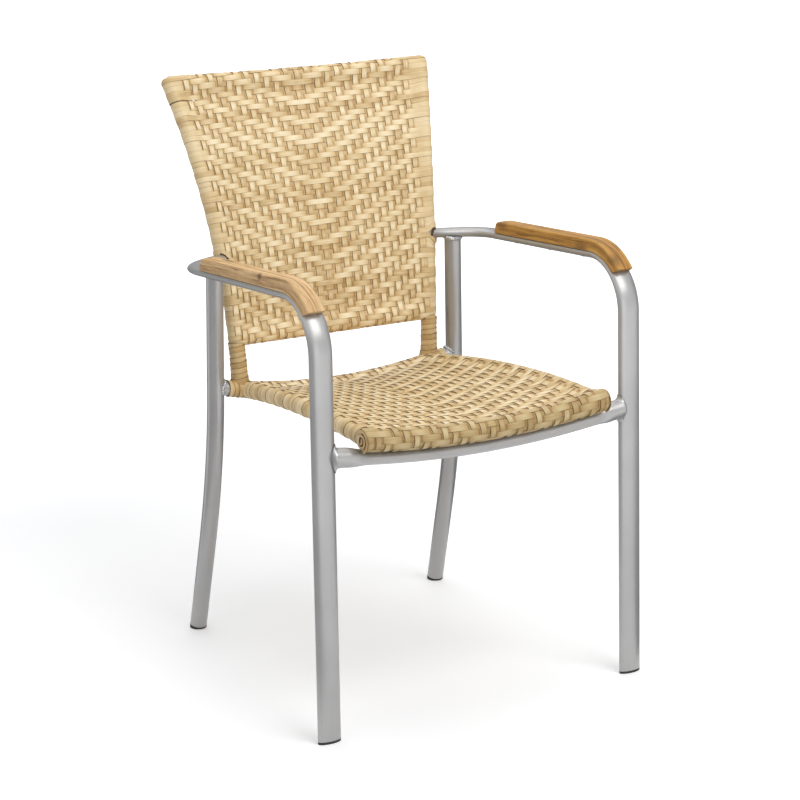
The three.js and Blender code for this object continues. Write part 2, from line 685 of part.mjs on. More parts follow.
function buildUnderArmWeld(side) {
    const { diameter } = rearLegTube;
    const top = rearLegRoute(side, 0).points.at(-1);
    const underside = at(top.x, top.y, armZ(top.y));
    const ring = beadRing(underside, at(0, 0, -1), sideTube.thickness / 2, diameter, diameter, along(xAxis));
    return minus(ring, rearLegBar(side), sideBar(side, clearance));
}

function buildBackWeld(side) {
    const [before, joint] = sideRoute(side, 0).points.slice(-2);
    const outward = at(0, 0, 0).subVectors(before, joint).normalize();
    const sideOf = (tangent) => crossed(tangent, armNormal);
    const ring = beadRing(joint, outward, backTube.diameter / 2, sideTube.width, sideTube.thickness, sideOf);
    return minus(ring, uprightBar(side), sideBar(side, clearance));
}

// The chair, put together

const chair = new THREE.Group();

function add(name, solid, look) {
    const mesh = new THREE.Mesh(toGeometry(solid), new THREE.MeshStandardMaterial(colours[look]));
    mesh.name = name;
    chair.add(mesh);
}

for (const [hand, side] of [['left', -1], ['right', 1]]) {
    add(`${hand}_side_tube`, buildSideTube(side), 'aluminium');
    add(`${hand}_rear_leg`, buildRearLeg(side), 'aluminium');
    add(`${hand}_seat_rail`, buildSeatRail(side), 'aluminium');
    add(`${hand}_seat_tab`, buildTab(side), 'aluminium');
    add(`${hand}_back_upright`, buildUpright(side), 'aluminium');
    add(`${hand}_upright_wrap`, buildUprightWrap(side), 'weave');
    add(`${hand}_stub_wrap`, buildStubWrap(side), 'weave');
    add(`${hand}_arm_cap`, buildArmCap(side), 'wood');
    screwNames.forEach((name, i) => add(`${hand}_cap_screw_${name}`, buildScrew(side, screwYs[i]), 'steel'));
    add(`${hand}_front_glide`, buildFrontGlide(side), 'plastic');
    add(`${hand}_rear_glide`, buildRearGlide(side), 'plastic');
    add(`${hand}_weld_front_rail`, buildFrontRailWeld(side), 'weld');
    add(`${hand}_weld_rear_tube`, buildRearTubeWeld(side), 'weld');
    add(`${hand}_weld_under_arm`, buildUnderArmWeld(side), 'weld');
    add(`${hand}_weld_back`, buildBackWeld(side), 'weld');
}

add('front_rail', buildFrontRail(), 'aluminium');
add('rear_seat_tube', buildRearSeatTube(), 'aluminium');
add('front_seat_tube', tubing(frontTubeRoute(), rollTube), 'aluminium');
add('back_top_rail', buildBackRail(topRailRoute), 'aluminium');
add('back_bottom_rail', buildBackRail(bottomRailRoute), 'aluminium');
add('back_weave', buildBackWeave(), 'weave');
add('seat_weave', buildSeatWeave(), 'weave');

// The origin is the middle of the chair's footprint box, on the floor.
chair.updateMatrixWorld(true);
chair.position.y = -new THREE.Box3().setFromObject(chair).getCenter(at(0, 0, 0)).y;

export default chair;
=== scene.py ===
import bpy
import numpy as np
from math import pi, radians, hypot
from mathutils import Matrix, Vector


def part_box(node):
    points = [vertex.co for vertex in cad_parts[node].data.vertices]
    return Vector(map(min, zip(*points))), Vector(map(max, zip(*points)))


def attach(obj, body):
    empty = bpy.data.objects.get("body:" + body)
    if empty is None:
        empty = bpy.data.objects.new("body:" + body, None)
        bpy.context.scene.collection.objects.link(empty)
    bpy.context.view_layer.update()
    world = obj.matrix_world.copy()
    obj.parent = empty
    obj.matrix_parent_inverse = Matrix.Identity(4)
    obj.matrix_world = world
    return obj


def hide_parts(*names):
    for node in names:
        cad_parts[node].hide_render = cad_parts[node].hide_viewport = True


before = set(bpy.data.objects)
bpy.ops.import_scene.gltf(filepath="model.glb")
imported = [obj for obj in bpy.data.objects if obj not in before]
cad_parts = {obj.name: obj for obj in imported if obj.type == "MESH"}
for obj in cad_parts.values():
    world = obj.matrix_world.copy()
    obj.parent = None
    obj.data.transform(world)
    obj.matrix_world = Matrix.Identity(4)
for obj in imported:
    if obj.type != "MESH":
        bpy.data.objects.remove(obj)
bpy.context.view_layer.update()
print("frame loaded,", len(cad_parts), "nodes")

millimetre = 0.001
hands = {"left": -1, "right": 1}
rng = np.random.default_rng(7)


# Small arithmetic on whole arrays

def point(x, y, z):
    return np.stack(np.broadcast_arrays(x, y, z), axis=-1).astype(float)


def unit(v):
    return v / np.linalg.norm(v, axis=-1, keepdims=True)


def mix(a, b, t):
    return a + (b - a) * t


def smooth(t):  # 0 to 1 with level ends
    t = np.clip(t, 0, 1)
    return t * t * (3 - 2 * t)


def steps(count, start=0.0, end=1.0):
    return np.linspace(start, end, count + 1)


def bezier(a, b, c, t):  # quadratic curve through a and c, pulled towards b
    t = np.asarray(t)[..., None]
    return (1 - t) ** 2 * np.array(a) + 2 * t * (1 - t) * np.array(b) + t ** 2 * np.array(c)


def lengthAlong(path):  # running length at each point of a path
    return np.concatenate([[0], np.cumsum(np.linalg.norm(np.diff(path, axis=0), axis=1))])


def tangents(path):
    return unit(np.gradient(path, axis=0))


def circle(count):  # angles all the way round
    return np.arange(count) / count * 2 * pi


def roundedCorner(corner, before, after, radius, count):
    # arc of the given radius that touches both lines through the corner
    turn = np.arccos(np.clip(before @ after, -1, 1))
    inward = unit(after - before * (before @ after))
    start = corner - before * radius * np.tan(turn / 2)
    angle = steps(count, 0, turn)[:, None]
    return start + radius * (before * np.sin(angle) + inward * (1 - np.cos(angle)))


# Driving sizes of the frame, as in the drawing

rearSeatTube = {"y": 184.6, "middleZ": 380.5, "rise": 24.5, "half": 211.08, "diameter": 22}
low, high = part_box("rear_seat_tube")
shiftY = (low.y + high.y) / 2 - rearSeatTube["y"] * millimetre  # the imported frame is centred


def toChair(points):
    return points * millimetre + np.array([0, shiftY, 0])


# Meshes from rings of points

grainShift = 3  # metres, at most, by which the grain is moved on each strip


def placed(name, data):
    thing = bpy.data.objects.new(name, data)
    bpy.context.scene.collection.objects.link(thing)
    return thing


def skinned(name, grids, material, nodes=(), marks=None, crease=40):
    # Each grid holds rings of points in millimetres. Faces join neighbouring rings all the way
    # round, and one face closes each end. UV is metres along the strip and round its ring.
    # marks holds one array per attribute and grid, with a value for each point.
    points, loops, sizes, uvs = [], [], [], []
    total = 0
    for grid in grids:
        rings, count = grid.shape[:2]
        index = np.arange(rings * count).reshape(rings, count) + total
        beside = np.roll(index, -1, axis=1)
        quads = np.stack([index[:-1], beside[:-1], beside[1:], index[1:]], axis=-1)
        middle = grid.mean(axis=1)
        along = np.broadcast_to(lengthAlong(middle)[:, None], (rings, count + 1)) * millimetre
        closed = np.concatenate([grid, grid[:, :1]], axis=1)
        stride = np.linalg.norm(np.diff(closed, axis=1), axis=-1)
        around = np.concatenate([np.zeros((rings, 1)), np.cumsum(stride, axis=1)], axis=1) * millimetre
        shift = rng.random(2) * grainShift
        uv = np.stack([along + shift[0], around + shift[1]], axis=-1)
        quadUv = np.stack([uv[:-1, :-1], uv[:-1, 1:], uv[1:, 1:], uv[1:, :-1]], axis=2)
        a, b, c, d = (grid.reshape(-1, 3)[quads[..., i] - total] - middle[0] for i in range(4))
        volume = (a * (np.cross(b, c) + np.cross(c, d))).sum()
        ends = np.stack([index[0][::-1], index[-1]])
        endUv = np.stack([uv[0, :-1][::-1], uv[-1, :-1]])
        if volume < 0:  # the rings run the other way round, so every face is turned
            quads, quadUv = quads[..., ::-1], quadUv[..., ::-1, :]
            ends, endUv = ends[:, ::-1], endUv[:, ::-1]
        points.append(grid.reshape(-1, 3))
        loops += [quads.reshape(-1), ends.reshape(-1)]
        uvs += [quadUv.reshape(-1, 2), endUv.reshape(-1, 2)]
        sizes += [np.full(quads.shape[0] * quads.shape[1], 4), np.full(2, count)]
        total += rings * count
    sizes = np.concatenate(sizes)
    mesh = bpy.data.meshes.new(name)
    mesh.vertices.add(total)
    mesh.vertices.foreach_set("co", toChair(np.concatenate(points)).ravel())
    mesh.loops.add(int(sizes.sum()))
    mesh.loops.foreach_set("vertex_index", np.concatenate(loops).astype(np.int32))
    mesh.polygons.add(len(sizes))
    mesh.polygons.foreach_set("loop_start", np.concatenate([[0], np.cumsum(sizes)[:-1]]).astype(np.int32))
    mesh.polygons.foreach_set("use_smooth", np.ones(len(sizes), bool))
    mesh.update(calc_edges=True)
    mesh.uv_layers.new(name="run").data.foreach_set("uv", np.concatenate(uvs).ravel())
    for label, values in (marks or {}).items():
        flat = np.concatenate([np.ravel(v) for v in values])
        mesh.attributes.new(label, "FLOAT", "POINT").data.foreach_set("value", flat)
    mesh.set_sharp_from_angle(angle=radians(crease))
    mesh.materials.append(material)
    piece = placed(name, mesh)
    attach(piece, "root")
    if nodes:
        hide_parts(*nodes)
    return piece


def ringOf(width, thickness, count=48):
    # ellipse of offsets across and over a path
    angle = circle(count)
    return np.stack([np.cos(angle) * width / 2, np.sin(angle) * thickness / 2], axis=-1)


def carried(path, across, ring):
    # Carries a ring along a path: point + across * first + over * second, where over stands at
    # right angles to the path and to across.
    tangent = tangents(path)
    over = unit(np.cross(tangent, across))
    across = np.cross(over, tangent)
    ring = np.broadcast_to(ring, (len(path),) + ring.shape[-2:])
    return path[:, None] + ring[..., :1] * across[:, None] + ring[..., 1:] * over[:, None]


xAxis, yAxis, zAxis = np.eye(3)


# Materials

class Shader:
    # a material, or the world, with its nodes at hand; fixed holds what is the same all over it
    def __init__(self, name, fixed=None, library="materials", surface="Principled BSDF"):
        self.block = getattr(bpy.data, library).new(name)
        self.block.use_nodes = True
        self.nodes, self.links = self.block.node_tree.nodes, self.block.node_tree.links
        self.surface = self.nodes[surface]
        for key, value in (fixed or {}).items():
            self.surface.inputs[key].default_value = value

    def add(self, kind, inputs=None, **settings):
        node = self.nodes.new(kind)
        for key, value in settings.items():
            setattr(node, key, value)
        for key, value in (inputs or {}).items():
            if isinstance(value, bpy.types.NodeSocket):
                self.links.new(value, node.inputs[key])
            else:
                node.inputs[key].default_value = value
        return node

    def join(self, outputs):  # onto the surface's sockets
        for name, output in outputs.items():
            self.links.new(output, self.surface.inputs[name])

    def where(self, socket, scale):
        # coordinates of the piece, stretched by one number for each axis, or one for all
        source = self.add("ShaderNodeTexCoord").outputs[socket]
        scale = scale if isinstance(scale, tuple) else (scale,) * 3
        return self.add("ShaderNodeMapping", {"Vector": source, "Scale": scale}).outputs["Vector"]

    def noise(self, socket, scale, detail=3.0, roughness=0.55, distortion=0.0):
        inputs = {"Vector": self.where(socket, scale), "Scale": 1.0, "Detail": detail,
                  "Roughness": roughness, "Distortion": distortion}
        return self.add("ShaderNodeTexNoise", inputs).outputs["Fac"]

    def ramp(self, factor, *stops):
        node = self.add("ShaderNodeValToRGB", {"Fac": factor})
        band = node.color_ramp
        while len(band.elements) < len(stops):
            band.elements.new(0.5)
        for element, (place, colour) in zip(band.elements, stops):
            element.position = place
            element.color = (*linear(colour), 1)
        return node.outputs["Color"]

    def blend(self, kind, factor, a, b):
        a, b = ((*linear(c), 1) if isinstance(c, tuple) else c for c in (a, b))
        inputs = {0: factor, 6: a, 7: b}
        return self.add("ShaderNodeMix", inputs, data_type="RGBA", blend_type=kind).outputs[2]

    def span(self, value, fromLow, fromHigh, toLow, toHigh):
        inputs = {"Value": value, "From Min": fromLow, "From Max": fromHigh, "To Min": toLow,
                  "To Max": toHigh}
        return self.add("ShaderNodeMapRange", inputs).outputs["Result"]

    def maths(self, operation, *values):
        return self.add("ShaderNodeMath", dict(enumerate(values)), operation=operation).outputs["Value"]

    def weigh(self, a, b, share):  # share of a and the rest of b
        return self.maths("ADD", self.maths("MULTIPLY", a, share), self.maths("MULTIPLY", b, 1 - share))

    def mark(self, name):
        return self.add("ShaderNodeAttribute", attribute_name=name).outputs["Fac"]

    def seenDirectly(self):
        # 1 for camera, glossy and transmission rays, 0 for the light that falls on the chair
        rays = self.add("ShaderNodeLightPath").outputs
        shiny = self.maths("MAXIMUM", rays["Is Glossy Ray"], rays["Is Transmission Ray"])
        return self.maths("MAXIMUM", rays["Is Camera Ray"], shiny)

    def finish(self, colour, roughness, height, strength, distance):
        bump = self.add("ShaderNodeBump", {"Height": height, "Strength": strength, "Distance": distance})
        self.join({"Base Color": colour, "Roughness": roughness, "Normal": bump.outputs["Normal"]})
        return self.block


def linear(colour):  # 0 to 255 as seen on a screen, to the shader's linear values
    shade = np.array(colour) / 255
    return tuple(np.where(shade <= 0.04045, shade / 12.92, ((shade + 0.055) / 1.055) ** 2.4))


def caneStrip():
    # Fine lengthwise lines, tone from strip to strip, a painted highlight where a strip rides on top,
    # painted shade where it turns down and a little where it lies underneath, painted shade on its side
    # walls and underside, and painted shade over the front of the seat's roll
    look = {"low": (222, 193, 145), "turnShade": (188, 148, 92), "straw": (230, 204, 154), "pale": (251, 234, 198),
            "shaded": (210, 193, 164), "even": (243, 236, 222), "bright": (255, 255, 255),
            "edge": (66, 44, 20), "worn": (214, 209, 192)}
    s = Shader("cane strip", {"Specular IOR Level": 0.45})
    lines = s.noise("UV", (45, 2400, 1), detail=4, roughness=0.65)
    threads = s.noise("UV", (22, 760, 1), detail=2)
    patches = s.noise("Object", 38, detail=2)
    grain = s.weigh(lines, threads, 0.5)
    shade = s.weigh(grain, s.weigh(s.mark("tone"), patches, 0.5), 0.62)
    # the ramp below paints shade where a strip lies underneath or turns down, and a highlight on top
    ride = s.span(s.mark("crest"), -1.0, 1.0, 0.0, 1.0)
    colour = s.ramp(ride, (0.0, look["low"]), (0.4, look["low"]), (0.49, look["turnShade"]),
                    (0.58, look["straw"]), (1.0, look["pale"]))
    streaks = s.ramp(shade, (0.36, look["shaded"]), (0.5, look["even"]), (0.62, look["bright"]))
    colour = s.blend("MULTIPLY", 1.0, colour, streaks)
    # painted shade over the front of the seat's roll
    colour = s.blend("MULTIPLY", s.mark("worn"), colour, look["worn"])
    # painted shade on the strips' side walls and undersides, by the edge mark
    colour = s.blend("MIX", s.span(s.mark("edge"), 0.2, 1.0, 0.0, 0.9), colour, look["edge"])
    return s.finish(colour, s.span(grain, 0.3, 0.7, 0.36, 0.58), grain, 0.35, 0.0006)


def paintedShadeCaneMaterial():
    # painted shade: a dark brown seen only between strips, on the inside of the roll's ends, the sleeves
    # round the uprights and the beads in the weave, standing for the shade there
    s = Shader("painted shade cane")
    lines = s.noise("Object", 300)
    colour = s.ramp(lines, (0.3, (62, 43, 20)), (0.7, (96, 70, 36)))
    return s.finish(colour, s.span(lines, 0, 1, 0.7, 0.9), lines, 0.3, 0.0004)


def satinAluminium():
    # drawn tube: faint lines along it, cloudy anodised tone
    s = Shader("satin aluminium", {"Metallic": 0.55})
    drawn = s.noise("UV", (3, 900, 1))
    cloud = s.noise("Object", 9)
    surface = s.maths("ADD", drawn, s.noise("Object", 1400, detail=1))
    colour = s.ramp(s.weigh(drawn, cloud, 0.35), (0.3, (164, 163, 162)), (0.7, (180, 179, 178)))
    return s.finish(colour, s.span(surface, 0.6, 1.4, 0.28, 0.38), surface, 0.08, 0.0002)


def weldMetal():
    s = Shader("weld metal", {"Metallic": 0.85})
    scales = s.noise("Object", 520)
    colour = s.ramp(s.noise("Object", 120, detail=2), (0.35, (150, 149, 150)), (0.65, (214, 214, 216)))
    return s.finish(colour, s.span(scales, 0.3, 0.7, 0.24, 0.46), scales, 0.5, 0.0006)


def oiledTeak(warmth):
    # grain along the arm: broad bands, fine dark pores, a few knots
    look = {"light": (236, 202, 152), "middle": (208, 168, 116), "dark": (130, 96, 59),
            "pore": (96, 68, 40), "warm": (227, 206, 148), "knot": (92, 64, 34)}
    s = Shader("oiled teak " + ("warm" if warmth else "pale"), {"Specular IOR Level": 0.35})
    bands = s.noise("UV", (6, 150, 1), detail=4, roughness=0.6, distortion=0.6)
    fibres = s.noise("UV", (22, 900, 1), roughness=0.7)
    pores = s.noise("UV", (60, 1300, 1), detail=1)
    shade = s.weigh(bands, fibres, 0.62)
    colour = s.ramp(shade, (0.38, look["dark"]), (0.49, look["middle"]), (0.6, look["light"]))
    colour = s.blend("MIX", s.span(pores, 0.6, 0.72, 0.0, 0.6), colour, look["pore"])
    if warmth:
        colour = s.blend("MULTIPLY", 1.0, colour, look["warm"])
    knots = s.add("ShaderNodeTexVoronoi", {"Vector": s.where("Object", (20, 9, 20)), "Scale": 1.0})
    knot = s.span(knots.outputs["Distance"], 0.06, 0.2, 0.55, 0.0)
    colour = s.blend("MIX", knot, colour, look["pore"])
    if not warmth:  # one dark knot on the side of the arm
        place = s.add("ShaderNodeTexCoord").outputs["Object"]
        away = s.add("ShaderNodeVectorMath", {0: place, 1: (-0.2685, -0.108, 0.635)}, operation="DISTANCE")
        ragged = s.maths("ADD", away.outputs["Value"], s.maths("MULTIPLY", fibres, 0.005))
        colour = s.blend("MIX", s.span(ragged, 0.0045, 0.0105, 0.85, 0.0), colour, look["knot"])
    return s.finish(colour, s.span(fibres, 0.3, 0.7, 0.42, 0.66), fibres, 0.3, 0.0005)


def blackGlide():
    s = Shader("black glide")
    scuffs = s.noise("Object", (60, 60, 400))
    colour = s.ramp(scuffs, (0.4, (24, 23, 22)), (0.75, (52, 51, 50)))
    grain = s.noise("Object", 900, detail=2)
    return s.finish(colour, s.span(scuffs, 0.3, 0.7, 0.45, 0.7), grain, 0.25, 0.0003)


def screwSteel():
    s = Shader("screw steel", {"Metallic": 0.9})
    turned = s.noise("Object", 800, detail=2)
    colour = s.ramp(turned, (0.3, (140, 140, 138)), (0.7, (172, 172, 170)))
    return s.finish(colour, s.span(turned, 0.3, 0.7, 0.28, 0.42), turned, 0.15, 0.0002)


cane, paintedShadeCane, aluminium, weld = caneStrip(), paintedShadeCaneMaterial(), satinAluminium(), weldMetal()
glideBlack, steel = blackGlide(), screwSteel()
print("materials ready")


# Tubes: each takes the place of the node that it is named after

def smoothTube(node, path, across, ring):
    skinned(node + "_smooth", [carried(path, across, ring)], aluminium, [node])


def roundTube(node, path, across, diameter):
    smoothTube(node, path, across, ringOf(diameter, diameter))


def tubeStart(direction, thickness):
    # distance along a leg, from the floor, at which its whole tube stands above the glide's foot
    return sideTube["glideFoot"] + thickness / 2 * hypot(direction[0], direction[1])


# Side tubes: front leg, bend, arm and the inward bend to the back

sideTube = {
    "width": 36, "thickness": 15, "footX": 257, "footY": -245, "lean": 0.04, "splay": 0.0056,
    "armHeight": 611, "armSlope": 0.0774, "bend": 75, "rearBend": 70, "inward": 0.6, "endAhead": 3,
    "glideFoot": 3.5, "endWidth": 17, "narrowing": 28,
}
armDirection = unit(np.array([0, 1, -sideTube["armSlope"]]))
armNormal = np.cross(xAxis, armDirection)


def armZ(y):
    return sideTube["armHeight"] - sideTube["armSlope"] * y


def legDirection(side):
    return unit(np.array([-sideTube["splay"] * side, sideTube["lean"], 1]))


backPost = {"foot": (167, 189), "bend": (173.8, 199.8, 643), "top": (218.2, 304.2, 848), "diameter": 20}


def rearTubeZ(x):  # grows with the square of x
    return rearSeatTube["middleZ"] + rearSeatTube["rise"] * (x / rearSeatTube["half"]) ** 2


def postPath(t, side=1):
    # quadratic curve from the rear seat tube, pulled towards the bend, to the back's top corner
    footX, footY = backPost["foot"]
    path = bezier((footX, footY, rearTubeZ(footX)), backPost["bend"], backPost["top"], t)
    return path * np.array([side, 1, 1])


def postShareAt(z):
    share = steps(400)
    return np.interp(z, postPath(share)[:, 2], share)


def sidePath(side):
    # leg, arm and inward end are straight lines; an arc rounds off both corners between them
    b = sideTube
    cornerZ = (b["armHeight"] - b["armSlope"] * b["footY"]) / (1 + b["armSlope"] * b["lean"])
    armX = b["footX"] - b["splay"] * cornerZ
    corner = np.array([side * armX, b["footY"] + b["lean"] * cornerZ, cornerZ])
    joint = postPath(postShareAt(armZ(backPost["bend"][1])), side)
    joint = np.array([joint[0], joint[1] - b["endAhead"], armZ(joint[1] - b["endAhead"])])
    rearY = joint[1] - (armX - abs(joint[0])) * b["inward"]
    rearCorner = np.array([side * armX, rearY, armZ(rearY)])
    inward = unit(-side * xAxis + armDirection * b["inward"])
    direction = legDirection(side)
    front = roundedCorner(corner, direction, armDirection, b["bend"], 36)
    rear = roundedCorner(rearCorner, armDirection, inward, b["rearBend"], 20)
    foot = np.array([side * b["footX"], b["footY"], 0])
    leg = mix(foot + direction * tubeStart(direction, b["thickness"]), front[0], steps(40)[:-1, None])
    arm = mix(front[-1], rear[0], steps(30)[1:-1, None])
    last = mix(rear[-1], joint, steps(6)[1:, None])
    return {"leg": leg, "front": front, "arm": arm, "rear": rear, "last": last, "armX": armX, "joint": joint}


def sideTubes():
    # an oval carried along the path, narrower where its end lies in the weave of the back
    for hand, side in hands.items():
        parts = sidePath(side)
        path = np.concatenate([parts[k] for k in ("leg", "front", "arm", "rear", "last")])
        bentFrom = len(parts["leg"]) + len(parts["front"])
        sideways = np.cross(tangents(path), armNormal)
        across = np.where(np.arange(len(path))[:, None] < bentFrom, xAxis, sideways)
        along = lengthAlong(path)
        narrow = 1 - smooth((along[-1] - along) / sideTube["narrowing"])
        width = mix(sideTube["width"], sideTube["endWidth"], narrow)
        ring = ringOf(1, sideTube["thickness"], 64) * np.stack([width, np.ones_like(width)], axis=-1)[:, None]
        smoothTube(hand + "_side_tube", path, across, ring)


sideTubes()


# Rear legs: slanted foot, long bend, upright top under the arm

rearLeg = {"diameter": 26, "footX": 217.6, "footY": 250.6, "splay": 0.0163, "slant": 0.2365,
           "bendStart": 140, "bendEnd": 400, "lean": 0.006, "underArm": 3.5}


def rearLegDirection(side):
    return unit(np.array([-rearLeg["splay"] * side, -rearLeg["slant"], 1]))


def rearLegPath(side):
    # straight and slanted from the foot, a quadratic curve, and nearly upright to the arm
    b = rearLeg
    bendEndY = rearSeatTube["y"]

    def slanted(z):
        return point(side * (b["footX"] - b["splay"] * z), b["footY"] - b["slant"] * z, z)

    def standing(z):
        return point(side * (b["footX"] - b["splay"] * z), bendEndY + b["lean"] * (z - b["bendEnd"]), z)

    cornerZ = (b["footY"] - bendEndY + b["lean"] * b["bendEnd"]) / (b["slant"] + b["lean"])
    direction = rearLegDirection(side)
    start = slanted(0) + direction * tubeStart(direction, b["diameter"])
    foot = mix(start, slanted(b["bendStart"]), steps(10)[:-1, None])
    bent = bezier(slanted(b["bendStart"]), slanted(cornerZ), standing(b["bendEnd"]), steps(36))
    topZ = armZ(bendEndY) - sideTube["thickness"] / 2 + b["underArm"]
    top = mix(bent[-1], standing(topZ), steps(12)[1:, None])
    return np.concatenate([foot, bent, top])


for hand, side in hands.items():
    roundTube(hand + "_rear_leg", rearLegPath(side), xAxis, rearLeg["diameter"])
print("side tubes and rear legs")


# Front rail: round at the legs, pressed flat in the middle under the seat's roll

frontRail = {"diameter": 28, "middleZ": 391, "rise": 20.5, "flatHeight": 17, "flatWidth": 29,
             "flatHalf": 188, "shoulder": 36, "squareness": 6, "leanBack": 8, "endInset": 16,
             "reachTakenAt": 382.5, "placeTakenAt": 397.5}
# heights at which the leg's middle line gives the rail's half length and its place along Y
railHalf = sideTube["footX"] - sideTube["splay"] * frontRail["reachTakenAt"]
railY = sideTube["footY"] + sideTube["lean"] * frontRail["placeTakenAt"]


def railShape(x):
    # the middle line grows with the square of x; past the shoulder the section is round
    b = frontRail
    roundShare = smooth((abs(x) - b["flatHalf"]) / b["shoulder"])
    height = mix(b["flatHeight"], b["diameter"], roundShare)
    width = mix(b["flatWidth"], b["diameter"], roundShare)
    middle = b["middleZ"] + b["rise"] * (x / railHalf) ** 2
    return middle, width, height, roundShare


def frontRailTube():
    # superellipse section, squarer where the tube is pressed, and its front leans back there, more
    # and more towards the top
    reach = railHalf - frontRail["endInset"]
    x = steps(120, -reach, reach)
    middle, width, height, roundShare = railShape(x)
    width, height, roundShare = width[:, None], height[:, None], roundShare[:, None]
    power = 2 / mix(frontRail["squareness"], 2, roundShare)
    cos, sin = (f(circle(64))[None] for f in (np.cos, np.sin))
    ring = np.stack([np.sign(cos) * abs(cos) ** power * width / 2,
                     np.sign(sin) * abs(sin) ** power * height / 2], axis=-1)
    lean = frontRail["leanBack"] * (1 - roundShare) * (0.5 - ring[..., 0] / width)
    ring[..., 0] += lean * (0.5 + ring[..., 1] / height) ** 1.5
    smoothTube("front_rail", point(x, railY, middle), yAxis, ring)


frontRailTube()


# Tubes of the seat

seatFront = {"halfLength": 197, "diameter": 25, "aheadOfRail": 12.9, "middleZ": 417.0, "rise": 14}
frontTubeY = railY - seatFront["aheadOfRail"]
seatRail = {"rearX": 158, "frontX": 189, "bulge": 6, "crestBehind": 42, "rise": 41, "diameter": 22}
seatDepth = rearSeatTube["y"] - frontTubeY


def frontTubeZ(x):  # grows with the square of x
    return seatFront["middleZ"] + seatFront["rise"] * (x / seatFront["halfLength"]) ** 2


def seatRailPath(t):
    # from the rear tube to the front one, bulging sideways by a parabola and rising by another,
    # whose crest lies a little behind the front
    b = seatRail
    crest = (seatDepth - b["crestBehind"]) / seatDepth
    rearZ, frontZ = rearTubeZ(b["rearX"]), frontTubeZ(b["frontX"])

    def hump(s):
        return b["rise"] * (1 - (1 - s / crest) ** 2)

    x = mix(b["rearX"], b["frontX"], t) + b["bulge"] * (1 - (2 * t - 1) ** 2)
    return point(x, rearSeatTube["y"] - seatDepth * t, rearZ + hump(t) + (frontZ - rearZ - hump(1)) * t)


def seatTubes():
    for hand, side in hands.items():
        path = seatRailPath(steps(40)) * np.array([side, 1, 1])
        roundTube(hand + "_seat_rail", path, xAxis, seatRail["diameter"])
    for node, b, half, y, heightAt in (
            ("rear_seat_tube", rearSeatTube, rearSeatTube["half"], rearSeatTube["y"], rearTubeZ),
            ("front_seat_tube", seatFront, seatFront["halfLength"], frontTubeY, frontTubeZ)):
        x = steps(60, -half, half)
        roundTube(node, point(x, y, heightAt(x)), yAxis, b["diameter"])


seatTubes()


# Tubes of the back

backRails = {"bow": 9, "bottomZ": 474}
bottomShare = postShareAt(backRails["bottomZ"])
topTangent = postPath(1.0) - postPath(1 - 1 / 12)
backUp = unit(topTangent * np.array([0, 1, 1]))
backFacing = np.cross(xAxis, backUp)  # out of the front of the back


def backTubes():
    # the top rail bows backwards by a parabola, and the bottom rail is straight
    for hand, side in hands.items():
        roundTube(hand + "_back_upright", postPath(steps(60), side), xAxis, backPost["diameter"])
    u = steps(60, -1, 1)
    topX, topY, topZ = backPost["top"]
    top = point(u * topX, topY, topZ) - backFacing * (backRails["bow"] * (1 - u ** 2))[:, None]
    roundTube("back_top_rail", top, yAxis, backPost["diameter"])
    corner = postPath(bottomShare)
    roundTube("back_bottom_rail", point(u * corner[0], corner[1], corner[2]), yAxis, backPost["diameter"])


backTubes()
print("rails and cross tubes")


# Cane weave. Across strips run from side to side and wrap the side tubes. Long strips run from one
# cross tube to the other and wrap them. Strip number j counts out from the middle and row number k
# counts along, and an across strip lies on top where the remainder of j + k by 4 is below 1.5.

strip = {"thickness": 1.2, "relief": 0.72, "sharpness": 2.2, "camber": 0.18, "waver": 0.3,
         "waverLength": 70, "waverSpread": (0.7, 1.4), "overlap": 0.6, "longWidth": 8.6, "widthSpread": 0.05,
         "longCount": 12, "wrapCrest": 0.55, "wrapEase": 0.7, "middleEase": 0.03, "crowding": 1.15,
         "acrossEdges": (0.45, 0.9), "wornLead": 6, "wornOver": 12}


def woveWave(j, k):
    # sine with a period of 4 in j + k: above zero where the across strip is on top
    return np.sin(pi / 2 * (j + k + 0.5))


def squared(wave):  # the sine with flat tops: level of a strip over the middle layer
    return np.tanh(strip["sharpness"] * wave) / np.tanh(strip["sharpness"])


def edgeCurve(path):
    # running length, points, and the direction along the edge in the plane of Y and Z
    along = lengthAlong(path * np.array([0, 1, 1]))
    ahead = unit(np.gradient(path, axis=0) * np.array([0, 1, 1]))
    return {"q": along, "edge": path, "ahead": ahead, "length": along[-1]}


